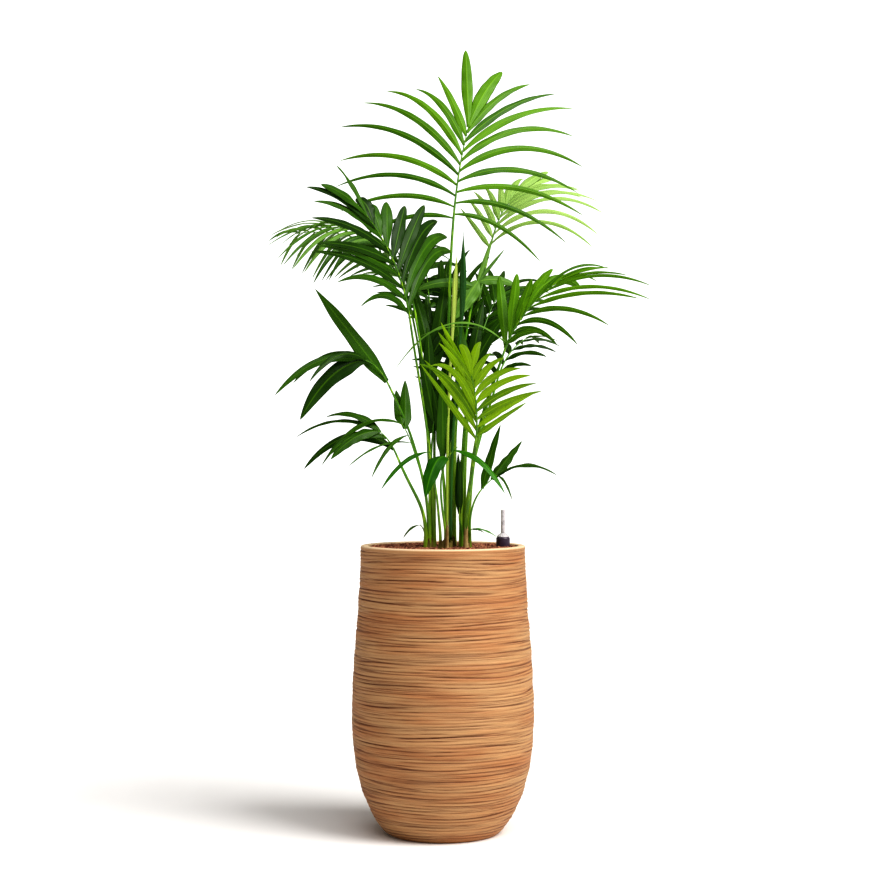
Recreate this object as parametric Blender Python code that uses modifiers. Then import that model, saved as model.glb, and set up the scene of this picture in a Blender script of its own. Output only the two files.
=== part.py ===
"""A young kentia palm in a tall ribbed planter, built piece by piece at its real size.

Metres, +Z up. The origin is the centre of the planter's flat underside, +X is to the viewer's
right and +Y points away from the viewer. Each stem stands on the substrate, carries its petioles
on its flat top, and each petiole carries one frond: a rib with thin leaflets joined to it.
"""

import math
from dataclasses import dataclass
from typing import NamedTuple

import bmesh
import bpy
import numpy as np
from mathutils.bvhtree import BVHTree

CLEARANCE = 0.0003          # air between pieces that rest on each other
MERGE = 0.0001              # merge distance of turned shapes
THIN = 0.00001              # weld distance of a tube's caps

# Planter: an open vessel that swells to a belly and tucks in to a flat foot
RIM_HEIGHT = 0.698
RIM_RADIUS = 0.2005
BELLY_HEIGHT = 0.29
BELLY_RADIUS = 0.2217
FOOT_RADIUS = 0.133
TUCK_RISE = 2.3             # how late the wall leaves the belly on its way down
TUCK_TURN = 0.75            # how sharply it turns in under the belly
WALL = 0.018
FLOOR = 0.020
LIP = 0.0045                # radius that rounds both edges of the rim
PLANTER_SIDES = 36
INNER_SKIP = 3              # the inner wall has every third station of the outer one
UPPER_STATIONS = 6
LOWER_STATIONS = 7

# Substrate: fills the planter to just under its rim
SOIL_LEVEL = 0.689
SOIL_GAP = 0.0006
SOIL_DISH = 0.002           # how much lower it lies in the middle third than at the wall

# Water level gauge: a dark cap, a clear shoulder and a clear tube
GAUGE_X = 0.147
GAUGE_Y = 0.018
GAUGE_CAP_RADIUS = 0.0168
GAUGE_CAP_HEIGHT = 0.0255
GAUGE_DOME_HEIGHT = 0.0105
GAUGE_TUBE_RADIUS = 0.0054
GAUGE_TUBE_HEIGHT = 0.056
GAUGE_SIDES = 16
CAP_PROFILE = ((0.94, 1.0), (1.0, 0.88), (1.0, 0.0))    # shares of a part's radius and height
DOME_PROFILE = ((0.32, 1.0), (0.70, 0.5), (0.93, 0.0))
TUBE_PROFILE = ((0.80, 1.0), (1.0, 0.97), (1.0, 0.0))

# Stems: short, flared at the substrate, with a flat top that carries the petioles
STEM_HEIGHT = 0.022
STEM_TOP_RADIUS = 0.0112
STEM_FOOT_RADIUS = 0.0160
STEM_FLARE = 0.006          # height over which most of the root flare dies away
STEM_SIDES = 10
STEM_SHARES = (1.0, 0.5, 0.2, 0.0)
SEAT_RADIUS = 0.0063        # distance from a stem's axis to the foot of a petiole

# Petioles and ribs
PETIOLE_POINTS = 6
RIB_POINTS = 7
JOINT_STRAIGHT = 0.006      # straight stretch each side of the joint of petiole and rib
RIB_SHARE = 0.95            # radius of a rib's foot, as a share of its petiole's
RIB_TIP_RADIUS = 0.0009
PETIOLE_RISE = 0.40         # share of its length that a petiole climbs straight before it leans
PETIOLE_REACH = 0.35        # share of its length over which it bends into its rib

# Folded new fronds
SPEAR_RISE = 0.4            # how far a spear climbs straight before it leans
SPEAR_REACH = 0.2           # length over which it bends into its swelling
SPEAR_SHARES = (0.25, 0.5, 0.7, 0.85, 0.94, 1.0)
SWELL_START = 0.8           # radius where the swelling starts, as a share of its greatest
SHOULDER = 0.55             # place between the swelling and the tip, and its radius there
SHOULDER_RADIUS = 0.62

# Leaflets
FIRST_LEAFLET = 0.05        # shares of the rib where the lowest and the last leaflets leave it
LAST_LEAFLET = 0.97
STAGGER = 0.35              # how far right-hand leaflets sit ahead of left-hand ones, in spacings
LEAF_THICKNESS = 0.0108     # share of a leaflet's length
LEAST_THICKNESS = 0.0016
SAG_GROWTH = 0.85           # how a leaflet's sag grows along it: below 1 it bends most near the rib
ANGLE_SPREAD = 1.5          # how far single leaflets stray from their rib's values: degrees
LENGTH_SPREAD = 0.04        # shares of the value
SAG_SPREAD = 0.06
LIFT_SPREAD = 0.05          # share of the first direction
STATION_GRADE = 1.15        # above 1 the solid's stations stand closer near the rib
SLENDER = (0.35, 3.2, 2.4, 0.8)  # root width, how fast it widens, and the powers p and q
BLUNT = (0.30, 1.5, 4.0, 0.6)
INNER_SKIN_LIMIT = 8        # more loose corners than this in a joined frond are a lost leaflet
SAMPLES = 12                # steps in which a leaflet's curve is added up
LIFTS = (0.0, 0.12, -0.12, 0.24, -0.24, 0.38, -0.38)


class Stem(NamedTuple):
    """A short stem: its name and where its axis meets the substrate."""

    name: str
    x: float
    y: float


class Leaflets(NamedTuple):
    """The leaflets on one side of a rib, each value at even steps from the rib's foot to its tip."""

    angle: tuple            # degrees between a leaflet and the rib
    length: tuple
    sag: tuple              # how far it bends down, as a share of its first direction


class End(NamedTuple):
    """The last leaflet on one side of a rib, which is broader and blunter than the others."""

    angle: float
    length: float
    width: float
    sag: float


class Blade(NamedTuple):
    """One broad leaf of a young frond."""

    at: float               # share of the rib where it leaves
    heading: float          # degrees from +X towards +Y
    rise: float             # degrees above the level
    length: float
    width: float
    sag: float


@dataclass(frozen=True)
class Frond:
    """A petiole and its frond, with the three points that its rib follows."""

    name: str
    stem: str
    seat: float             # degrees round the stem's axis, where the petiole stands
    collar: tuple           # end of the petiole and start of the rib
    bend: tuple
    tip: tuple
    side: tuple = (1.0, 0.0, 0.0)
    pairs: int = 0
    right: Leaflets = None
    left: Leaflets = None
    width: tuple = (0.02, 0.02, 0.02)
    ends: tuple = None      # the last leaflet on the right and on the left
    blades: tuple = ()
    face: tuple = (0.0, -0.35, 1.0)
    lift: float = 0.05
    petiole_radius: tuple = (0.0040, 0.0027)
    cuts: int = 3           # quads along a leaflet
    finish: str = "leaf_dark"


@dataclass(frozen=True)
class Spear:
    """A new frond that is still folded: a slim stalk that swells and ends in a point."""

    name: str
    stem: str
    seat: float
    swell: tuple            # middle of the thick stretch
    tip: tuple
    stalk_radius: float
    swell_radius: float
    finish: str


STEMS = (
    Stem("stem_left", -0.038, -0.010),
    Stem("stem_left_back", -0.026, 0.022),
    Stem("stem_front", 0.000, -0.042),
    Stem("stem_centre", 0.013, -0.002),
    Stem("stem_back", 0.022, 0.044),
    Stem("stem_right_back", 0.050, 0.024),
    Stem("stem_right", 0.060, -0.016),
)

FRONDS = (
    Frond(
        "crown", "stem_back", 240.0,
        collar=(0.025, 0.090, 1.492), bend=(0.036, 0.120, 1.636), tip=(0.066, 0.170, 1.754),
        side=(1.0, 0.0, 0.0), pairs=10, cuts=4, lift=-0.06,
        right=Leaflets((80, 61, 35, 30, 12), (0.251, 0.336, 0.365, 0.344, 0.234),
                       (1.41, 0.89, 1.09, 0.59, 0.64)),
        left=Leaflets((75, 56, 42, 30, 26), (0.268, 0.340, 0.400, 0.280, 0.156),
                       (0.97, 0.88, 0.79, 0.86, 0.01)),
        width=(0.013, 0.020, 0.023),
        ends=(End(4, 0.235, 0.030, 0.54), End(14, 0.262, 0.026, 0.30)),
        petiole_radius=(0.0042, 0.0032), finish="leaf_mid",
    ),
    Frond(
        "back_right", "stem_right_back", 60.0,
        collar=(0.117, 0.200, 1.434), bend=(0.143, 0.250, 1.546), tip=(0.186, 0.330, 1.597),
        side=(0.75, -0.50, -0.45), pairs=8, lift=0.30,
        right=Leaflets((44, 34, 32, 19), (0.286, 0.317, 0.224, 0.215), (1.55, 1.14, 0.94, 0.74)),
        left=Leaflets((42, 27, 17, 5), (0.133, 0.140, 0.114, 0.175), (0.10, 0.72, 0.89, 0.74)),
        width=(0.014, 0.020, 0.020),
        ends=(End(17, 0.152, 0.028, 0.44), End(-9, 0.152, 0.028, 0.44)),
        finish="leaf_pale",
    ),
    Frond(
        "left_front", "stem_left_back", 310.0,
        collar=(-0.079, -0.070, 1.242), bend=(-0.097, -0.120, 1.376), tip=(-0.180, -0.180, 1.482),
        side=(0.50, 0.80, 0.10), pairs=9, lift=-0.06,
        right=Leaflets((51, 60, 69, 43, 43), (0.316, 0.340, 0.194, 0.119, 0.090),
                       (0.90, 0.89, 0.00, 0.97, 1.09)),
        left=Leaflets((27, 35, 40, 5, 5), (0.213, 0.340, 0.281, 0.218, 0.199),
                       (1.12, 0.53, 0.40, 0.78, 0.71)),
        width=(0.017, 0.024, 0.023),
        ends=(End(35, 0.15, 0.024, 0.57), End(4, 0.15, 0.024, 0.57)),
    ),
    Frond(
        "left_back", "stem_left_back", 130.0,
        collar=(-0.066, 0.040, 1.254), bend=(-0.106, 0.070, 1.492), tip=(-0.302, 0.110, 1.492),
        side=(0.15, 0.95, 0.20), pairs=12, lift=0.13,
        right=Leaflets((6, 6, 40), (0.161, 0.230, 0.263), (1.62, 1.86, 0.49)),
        left=Leaflets((5, 48, 75), (0.103, 0.258, 0.300), (0.00, 2.15, 0.44)),
        width=(0.015, 0.018, 0.013), finish="leaf_fine",
    ),
    Frond(
        "back_left", "stem_left_back", 40.0,
        collar=(-0.028, 0.120, 1.230), bend=(-0.038, 0.200, 1.350), tip=(-0.050, 0.340, 1.454),
        side=(0.95, 0.25, 0.00), pairs=7, cuts=2,
        right=Leaflets((45, 42, 25), (0.14, 0.20, 0.15), (0.60, 0.90, 1.00)),
        left=Leaflets((45, 42, 25), (0.14, 0.19, 0.15), (0.60, 0.90, 1.00)),
        width=(0.018, 0.024, 0.020),
    ),
    Frond(
        "centre_left", "stem_centre", 120.0,
        collar=(0.032, 0.094, 1.179), bend=(0.024, 0.134, 1.280), tip=(-0.008, 0.200, 1.356),
        side=(0.80, -0.50, 0.20), pairs=6, cuts=2,
        right=Leaflets((40, 40, 20), (0.14, 0.18, 0.13), (0.40, 0.70, 0.90)),
        left=Leaflets((45, 45, 25), (0.12, 0.16, 0.12), (0.30, 0.60, 0.80)),
        width=(0.018, 0.026, 0.024),
    ),
    Frond(
        "centre_back", "stem_back", 0.0,
        collar=(0.050, 0.150, 1.175), bend=(0.061, 0.200, 1.263), tip=(0.071, 0.290, 1.328),
        side=(1.0, -0.10, 0.0), pairs=6, cuts=2,
        right=Leaflets((45, 40, 20), (0.16, 0.19, 0.14), (0.30, 0.50, 0.70)),
        left=Leaflets((45, 40, 20), (0.16, 0.19, 0.14), (0.30, 0.50, 0.70)),
        width=(0.018, 0.028, 0.024),
    ),
    Frond(
        "centre_right", "stem_right_back", 190.0,
        collar=(0.079, 0.080, 1.149), bend=(0.103, 0.110, 1.258), tip=(0.144, 0.170, 1.329),
        side=(0.70, -0.60, -0.30), pairs=7,
        right=Leaflets((40, 40, 20), (0.15, 0.17, 0.14), (0.40, 0.80, 0.90)),
        left=Leaflets((35, 35, 20), (0.15, 0.19, 0.15), (0.20, 0.40, 0.60)),
        width=(0.018, 0.024, 0.022),
    ),
    Frond(
        "right", "stem_right", 60.0,
        collar=(0.147, -0.060, 1.166), bend=(0.182, -0.080, 1.270), tip=(0.283, -0.110, 1.337),
        side=(0.35, -0.70, -0.60), pairs=9, lift=-0.00,
        right=Leaflets((33, 34, 35, 14, 5), (0.116, 0.179, 0.313, 0.320, 0.130),
                       (0.64, 1.60, 0.54, 0.97, 0.58)),
        left=Leaflets((45, 19, 25, 23, 5), (0.203, 0.127, 0.179, 0.199, 0.091),
                       (0.04, 0.00, 1.32, 1.09, 0.60)),
        width=(0.024, 0.020, 0.012), finish="leaf_mid",
    ),
    Frond(
        "right_back", "stem_right_back", 320.0,
        collar=(0.135, 0.080, 1.103), bend=(0.157, 0.100, 1.180), tip=(0.213, 0.150, 1.212),
        side=(0.50, -0.80, -0.20), pairs=5, cuts=2,
        right=Leaflets((55, 45, 20), (0.10, 0.12, 0.10), (0.80, 1.00, 1.00)),
        left=Leaflets((45, 40, 25), (0.10, 0.12, 0.10), (0.50, 0.80, 1.00)),
        width=(0.014, 0.020, 0.018),
    ),
    Frond(
        "back_low", "stem_back", 120.0,
        collar=(0.014, 0.150, 1.066), bend=(0.020, 0.210, 1.154), tip=(0.030, 0.310, 1.216),
        side=(1.0, 0.0, 0.10), pairs=6, cuts=2,
        right=Leaflets((50, 45, 25), (0.11, 0.15, 0.13), (0.40, 0.60, 0.80)),
        left=Leaflets((50, 45, 25), (0.11, 0.14, 0.12), (0.40, 0.60, 0.80)),
        width=(0.016, 0.022, 0.020),
    ),
    Frond(
        "young_front", "stem_right", 150.0,
        collar=(0.079, -0.080, 0.947), bend=(0.086, -0.120, 1.037), tip=(0.066, -0.170, 1.108),
        side=(1.0, 0.10, 0.10), pairs=9, lift=-0.06,
        right=Leaflets((55, 53, 39, 26), (0.141, 0.174, 0.146, 0.081), (0.02, 0.54, 0.82, 0.61)),
        left=Leaflets((37, 15, 15, 22), (0.240, 0.240, 0.206, 0.141), (0.00, 1.11, 0.00, 0.00)),
        width=(0.016, 0.021, 0.020),
        ends=(End(19, 0.118, 0.022, 0.8), End(-4, 0.118, 0.022, 0.8)),
        finish="leaf_lime",
    ),
    Frond(
        "left_broad", "stem_left", 60.0,
        collar=(-0.131, -0.050, 1.087), bend=(-0.155, -0.070, 1.136), tip=(-0.186, -0.090, 1.144),
        face=(0.30, -1.0, 0.45), petiole_radius=(0.0040, 0.0026),
        blades=(
            Blade(0.08, -157, 51, 0.285, 0.046, 0.05),
            Blade(0.70, -161, 29, 0.275, 0.024, 1.50),
            Blade(0.90, 159, 34, 0.225, 0.020, 1.50),
            Blade(0.94, -140, 33, 0.195, 0.018, 1.60),
            Blade(0.97, -162, 1, 0.225, 0.046, 1.90),
        ),
    ),
    Frond(
        "left_low", "stem_left", 240.0,
        collar=(-0.106, -0.050, 0.904), bend=(-0.130, -0.060, 0.964), tip=(-0.156, -0.070, 0.976),
        petiole_radius=(0.0034, 0.0022),
        blades=(
            Blade(0.25, 170, 42, 0.260, 0.024, 1.60),
            Blade(0.60, -160, 30, 0.170, 0.018, 1.50),
            Blade(0.88, 163, 48, 0.155, 0.018, 1.00),
            Blade(0.93, -156, 7, 0.147, 0.030, 1.30),
            Blade(0.97, 161, 32, 0.230, 0.013, 1.10),
        ),
    ),
    Frond(
        "left_mid", "stem_left", 330.0,
        collar=(-0.074, -0.030, 0.940), bend=(-0.086, -0.034, 0.975), tip=(-0.100, -0.040, 0.994),
        petiole_radius=(0.0032, 0.0022),
        blades=(
            Blade(0.10, -152, 14, 0.185, 0.012, 1.10),
            Blade(0.40, -125, 0, 0.185, 0.014, 1.40),
            Blade(0.70, 91, 68, 0.130, 0.032, 0.05),
            Blade(0.97, -165, 29, 0.245, 0.024, 1.90),
            Blade(0.97, 103, 52, 0.110, 0.030, 0.10),
        ),
    ),
    Frond(
        "right_low", "stem_right", 330.0,
        collar=(0.090, -0.030, 0.830), bend=(0.106, -0.030, 0.852), tip=(0.134, -0.030, 0.870),
        petiole_radius=(0.0030, 0.0022),
        blades=(
            Blade(0.15, 33, 74, 0.165, 0.026, 0.30),
            Blade(0.70, 34, 49, 0.130, 0.034, 0.15),
            Blade(0.97, -12, 40, 0.160, 0.025, 1.20),
            Blade(0.95, -64, 2, 0.100, 0.008, 1.60),
        ),
    ),
    Frond(
        "front_arch", "stem_front", 0.0,
        collar=(-0.001, -0.062, 0.878), bend=(0.008, -0.072, 0.917), tip=(0.036, -0.080, 0.938),
        petiole_radius=(0.0032, 0.0024), finish="leaf_bright",
        blades=(
            Blade(0.45, -126, 32, 0.145, 0.048, 3.20),
            Blade(0.80, -25, 6, 0.178, 0.028, 1.80),
        ),
    ),
    Frond(
        "front_low", "stem_front", 180.0,
        collar=(-0.024, -0.080, 0.895), bend=(-0.025, -0.084, 0.914), tip=(-0.032, -0.092, 0.926),
        petiole_radius=(0.0032, 0.0024), finish="leaf_bright",
        blades=(Blade(0.97, -152, 3, 0.163, 0.018, 1.50),),
    ),
    Frond(
        "foot_right", "stem_right", 240.0,
        collar=(0.061, -0.028, 0.732), bend=(0.067, -0.032, 0.738), tip=(0.076, -0.034, 0.740),
        petiole_radius=(0.0022, 0.0018), finish="leaf_bright",
        blades=(
            Blade(0.60, 10, 15, 0.034, 0.011, 1.00),
            Blade(0.97, -4, 5, 0.062, 0.011, 0.90),
        ),
    ),
    Frond(
        "foot_left", "stem_left", 150.0,
        collar=(-0.047, -0.006, 0.735), bend=(-0.050, -0.007, 0.743), tip=(-0.056, -0.010, 0.748),
        petiole_radius=(0.0022, 0.0018),
        blades=(Blade(0.90, 200, 10, 0.058, 0.010, 1.80),),
    ),
)

SPEARS = (
    Spear("spear_pale", "stem_centre", 240.0, (0.030, 0.020, 1.330), (0.034, 0.020, 1.408),
          0.0034, 0.0070, "leaf_spear"),
    Spear("spear_dark", "stem_centre", 0.0, (0.049, 0.016, 1.350), (0.050, 0.018, 1.463),
          0.0034, 0.0085, "leaf_dark"),
)

COLOURS = {
    "planter_clay": ((0.56, 0.33, 0.15), 0.62, 0.0),
    "substrate": ((0.20, 0.09, 0.05), 0.95, 0.0),
    "gauge_dark": ((0.05, 0.04, 0.06), 0.35, 0.0),
    "gauge_clear": ((0.80, 0.80, 0.82), 0.15, 0.0),
    "stem_sheath": ((0.30, 0.19, 0.08), 0.80, 0.0),
    "petiole_green": ((0.16, 0.30, 0.04), 0.45, 0.0),
    "leaf_dark": ((0.02, 0.11, 0.01), 0.42, 0.0),
    "leaf_fine": ((0.05, 0.17, 0.03), 0.45, 0.0),
    "leaf_mid": ((0.07, 0.24, 0.01), 0.42, 0.0),
    "leaf_bright": ((0.05, 0.26, 0.02), 0.40, 0.0),
    "leaf_lime": ((0.24, 0.46, 0.01), 0.42, 0.0),
    "leaf_pale": ((0.28, 0.50, 0.10), 0.48, 0.0),
    "leaf_spear": ((0.36, 0.46, 0.12), 0.50, 0.0),
}


def clear_scene():
    """Remove every object of the scene."""
    for obj in list(bpy.data.objects):
        bpy.data.objects.remove(obj, do_unlink=True)


def new_collection(name):
    """A collection linked to the scene."""
    collection = bpy.data.collections.new(name)
    bpy.context.scene.collection.children.link(collection)
    return collection


def finish(name):
    """The Principled material of one finish, made when it is first used."""
    material = bpy.data.materials.get(name)
    if material:
        return material
    colour, roughness, metallic = COLOURS[name]
    material = bpy.data.materials.new(name)
    material.use_nodes = True
    shader = material.node_tree.nodes["Principled BSDF"]
    shader.inputs["Base Color"].default_value = (*colour, 1.0)
    shader.inputs["Roughness"].default_value = roughness
    shader.inputs["Metallic"].default_value = metallic
    material.diffuse_color = (*colour, 1.0)
    return material


def unit(vectors):
    """The same vectors at length 1, along the last axis."""
    length = np.linalg.norm(vectors, axis=-1, keepdims=True)
    return vectors / np.maximum(length, 1e-9)


def bezier(controls, shares):
    """Points and unit tangents of a Bezier curve with 3 or 4 control points."""
    controls = np.asarray(controls, float)
    degree = len(controls) - 1
    shares = np.asarray(shares, float)[:, None]
    points = np.zeros((len(shares), 3))
    slopes = np.zeros((len(shares), 3))
    for i in range(degree + 1):
        points += math.comb(degree, i) * (1 - shares) ** (degree - i) * shares**i * controls[i]
    for i in range(degree):
        weight = degree * math.comb(degree - 1, i) * (1 - shares) ** (degree - 1 - i) * shares**i
        slopes += weight * (controls[i + 1] - controls[i])
    return points, unit(slopes)


def graded(values, shares):
    """Values at given shares of a rib, from values that stand at even steps along it."""
    return np.interp(shares, np.linspace(0.0, 1.0, len(values)), values)


def turned(name, profile, steps, collection, material):
    """A solid turned about its own Z axis from (radius, height) points, outer side downwards."""
    mesh = bpy.data.meshes.new(name)
    vertices = [(radius, 0.0, height) for radius, height in profile]
    edges = [(i, i + 1) for i in range(len(vertices) - 1)]
    mesh.from_pydata(vertices, edges, [])
    obj = bpy.data.objects.new(name, mesh)
    collection.objects.link(obj)
    screw = obj.modifiers.new("Turn", "SCREW")
    screw.steps = steps
    screw.render_steps = steps
    screw.use_merge_vertices = True
    screw.merge_threshold = MERGE
    screw.use_smooth_shade = True
    mesh.materials.append(finish(material))
    return obj


def outer_radius(height):
    """The planter's outer radius: a smooth swell to the belly, then a rounded tuck to the foot."""
    if height >= BELLY_HEIGHT:
        share = (RIM_HEIGHT - height) / (RIM_HEIGHT - BELLY_HEIGHT)
        return RIM_RADIUS + (BELLY_RADIUS - RIM_RADIUS) * share * share * (3 - 2 * share)
    share = (BELLY_HEIGHT - height) / BELLY_HEIGHT
    return FOOT_RADIUS + (BELLY_RADIUS - FOOT_RADIUS) * (1 - share**TUCK_RISE) ** TUCK_TURN


def wall_heights():
    """Heights of the wall's stations from the rim down to the foot, closer where it curves most."""
    upper = np.linspace(RIM_HEIGHT - LIP, BELLY_HEIGHT, UPPER_STATIONS)
    turn = np.linspace(0.0, 1.0, LOWER_STATIONS)[1:]
    lower = BELLY_HEIGHT * (1 - np.sin(turn * math.pi / 2))
    return np.concatenate([upper, lower])


def inner_radius(height):
    """The planter's inner radius, one wall inside its outer one."""
    return outer_radius(height) - WALL


def inner_heights():
    """Heights of the inner wall's stations, from the highest down to just above the floor."""
    return [height for height in wall_heights()[::INNER_SKIP] if height > FLOOR + LIP]


def build_planter(collection):
    """The planter: floor, inner wall up, rounded lip, outer wall down to the flat underside."""
    heights = wall_heights()
    profile = [(0.0, FLOOR), (inner_radius(FLOOR), FLOOR)]
    profile += [(inner_radius(h), h) for h in reversed(inner_heights())]
    profile.append((inner_radius(RIM_HEIGHT) + LIP, RIM_HEIGHT))
    profile.append((RIM_RADIUS - LIP, RIM_HEIGHT))
    profile += [(outer_radius(h), h) for h in heights]
    profile.append((0.0, 0.0))
    return turned("planter", profile, PLANTER_SIDES, collection, "planter_clay")


def build_substrate(collection):
    """The substrate: it follows the inner wall a hair's breadth inside it, up to its level."""
    middle = RIM_RADIUS / 2
    top_radius = inner_radius(SOIL_LEVEL) - SOIL_GAP
    inner = [h for h in inner_heights() if h < SOIL_LEVEL - LIP]
    bottom = FLOOR + CLEARANCE
    profile = [(0.0, SOIL_LEVEL), (middle, SOIL_LEVEL), (top_radius, SOIL_LEVEL + SOIL_DISH)]
    profile += [(inner_radius(h) - SOIL_GAP, h) for h in inner]
    profile += [(inner_radius(FLOOR) - SOIL_GAP, bottom), (0.0, bottom)]
    return turned("substrate", profile, PLANTER_SIDES, collection, "substrate")


def build_gauge(collection):
    """The water level gauge: a dark cap on the substrate, a clear shoulder and a clear tube."""
    base = SOIL_LEVEL + SOIL_DISH + CLEARANCE
    pieces = (
        ("gauge_cap", "gauge_dark", GAUGE_CAP_RADIUS, GAUGE_CAP_HEIGHT, CAP_PROFILE),
        ("gauge_dome", "gauge_clear", GAUGE_CAP_RADIUS, GAUGE_DOME_HEIGHT, DOME_PROFILE),
        ("gauge_tube", "gauge_clear", GAUGE_TUBE_RADIUS, GAUGE_TUBE_HEIGHT, TUBE_PROFILE),
    )
    for name, material, radius, height, shares in pieces:
        profile = [(0.0, height)] + [(radius * r, height * h) for r, h in shares] + [(0.0, 0.0)]
        obj = turned(name, profile, GAUGE_SIDES, collection, material)
        obj.location = (GAUGE_X, GAUGE_Y, base)
        base += height + CLEARANCE


def build_stem(stem, collection):
    """A short stem that stands on the substrate, with a root flare and a flat top."""
    profile = [(0.0, STEM_HEIGHT)]
    for height in np.array(STEM_SHARES) * STEM_HEIGHT:
        flare = (STEM_FOOT_RADIUS - STEM_TOP_RADIUS) * math.exp(-height / STEM_FLARE)
        profile.append((STEM_TOP_RADIUS + flare, float(height)))
    profile.append((0.0, 0.0))
    obj = turned(stem.name, profile, STEM_SIDES, collection, "stem_sheath")
    obj.location = (stem.x, stem.y, SOIL_LEVEL + CLEARANCE)
    return obj


def petiole_foot(stem_name, seat):
    """The point on a stem's flat top where a petiole stands."""
    stem = next(s for s in STEMS if s.name == stem_name)
    turn = math.radians(seat)
    x = stem.x + SEAT_RADIUS * math.cos(turn)
    y = stem.y + SEAT_RADIUS * math.sin(turn)
    return np.array([x, y, SOIL_LEVEL + STEM_HEIGHT + 2 * CLEARANCE])


def petiole_controls(frond):
    """Bezier controls of a petiole: straight up from its foot, then into the line of its rib."""
    foot = petiole_foot(frond.stem, frond.seat)
    collar = np.array(frond.collar)
    reach = np.linalg.norm(collar - foot)
    into_rib = unit(np.array(frond.bend) - collar)
    rise = foot + np.array([0, 0, PETIOLE_RISE * reach])
    return [foot, rise, collar - into_rib * PETIOLE_REACH * reach, collar]


def tube(name, points, radii, sides, collection, material):
    """A tapering tube along a polyline, as a curve with a round bevel and filled caps."""
    curve = bpy.data.curves.new(name, "CURVE")
    curve.dimensions = "3D"
    curve.bevel_depth = float(radii[0])
    curve.bevel_resolution = sides
    curve.use_fill_caps = True
    spline = curve.splines.new("POLY")
    spline.points.add(len(points) - 1)
    for place, point, radius in zip(spline.points, points, radii):
        place.co = (*point, 1.0)
        place.radius = radius / radii[0]
    curve.materials.append(finish(material))
    obj = bpy.data.objects.new(name, curve)
    collection.objects.link(obj)
    return obj


def build_petiole(frond, collection):
    """The petiole of a frond, straight at both ends so that its cuts face the stem's and the rib's."""
    shares = np.linspace(0.0, 1.0, PETIOLE_POINTS)
    points, _ = bezier(petiole_controls(frond), shares)
    collar = np.array(frond.collar)
    into_rib = unit(np.array(frond.bend) - collar)
    straight = min(JOINT_STRAIGHT, np.linalg.norm(points[1] - points[0]) / 2)
    ends = [points[0], points[0] + np.array([0, 0, straight])]
    points = np.vstack([ends, points[1:-1], collar - into_rib * straight, collar])
    shares = np.concatenate([[0.0], shares, [1.0]])
    first, last = frond.petiole_radius
    radii = first + (last - first) * shares
    return tube("petiole_" + frond.name, points, radii, 1, collection, "petiole_green")


def build_spear(spear, collection):
    """A folded new frond: a slim stalk, a swelling and a point."""
    foot = petiole_foot(spear.stem, spear.seat)
    tip = np.array(spear.tip)
    swell = np.array(spear.swell)
    into_tip = unit(tip - swell)
    controls = [foot, foot + (0, 0, SPEAR_RISE), swell - into_tip * SPEAR_REACH, swell]
    stalk, _ = bezier(controls, SPEAR_SHARES)
    foot_end = foot + np.array([0, 0, JOINT_STRAIGHT])
    points = np.vstack([foot, foot_end, stalk, swell + (tip - swell) * SHOULDER, tip])
    thick = spear.swell_radius
    radii = [spear.stalk_radius] * len(SPEAR_SHARES)
    radii += [SWELL_START * thick, thick, SHOULDER_RADIUS * thick, RIB_TIP_RADIUS]
    return tube(spear.name, points, radii, 1, collection, spear.finish)


def as_mesh(obj, collection):
    """The tube as a mesh object of the same name, with the seams of its caps welded."""
    bpy.context.view_layer.update()
    graph = bpy.context.evaluated_depsgraph_get()
    mesh = bpy.data.meshes.new_from_object(obj.evaluated_get(graph))
    loose = bmesh.new()
    loose.from_mesh(mesh)
    bmesh.ops.remove_doubles(loose, verts=loose.verts, dist=THIN)
    loose.to_mesh(mesh)
    loose.free()
    name = obj.name
    matrix = obj.matrix_world.copy()
    bpy.data.objects.remove(obj, do_unlink=True)
    made = bpy.data.objects.new(name, mesh)
    made.matrix_world = matrix
    collection.objects.link(made)
    return made


def build_rib(frond, collection):
    """The rib of a frond: it starts a hair's breadth past the petiole and tapers to the tip."""
    controls = [frond.collar, frond.bend, frond.tip]
    shares = np.linspace(0.0, 1.0, RIB_POINTS)
    points, _ = bezier(controls, shares)
    collar = np.array(frond.collar)
    into_rib = unit(np.array(frond.bend) - collar)
    straight = min(JOINT_STRAIGHT, np.linalg.norm(points[1] - points[0]) / 2)
    start = [collar + into_rib * CLEARANCE, collar + into_rib * straight]
    points = np.vstack([start, points[1:]])
    shares = np.insert(shares, 1, 0.0)
    first = RIB_SHARE * frond.petiole_radius[1]
    radii = first + (RIB_TIP_RADIUS - first) * shares
    rib = tube("frond_" + frond.name, points, radii, 0, collection, frond.finish)
    return as_mesh(rib, collection)


@dataclass
class Leaves:
    """The leaflets of one frond as arrays with a row for each: what their curves grow from."""

    root: np.ndarray
    start: np.ndarray       # first direction
    face: np.ndarray        # direction that the upper side looks in
    length: np.ndarray
    width: np.ndarray
    sag: np.ndarray
    blunt: np.ndarray       # true for the end leaflets


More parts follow.
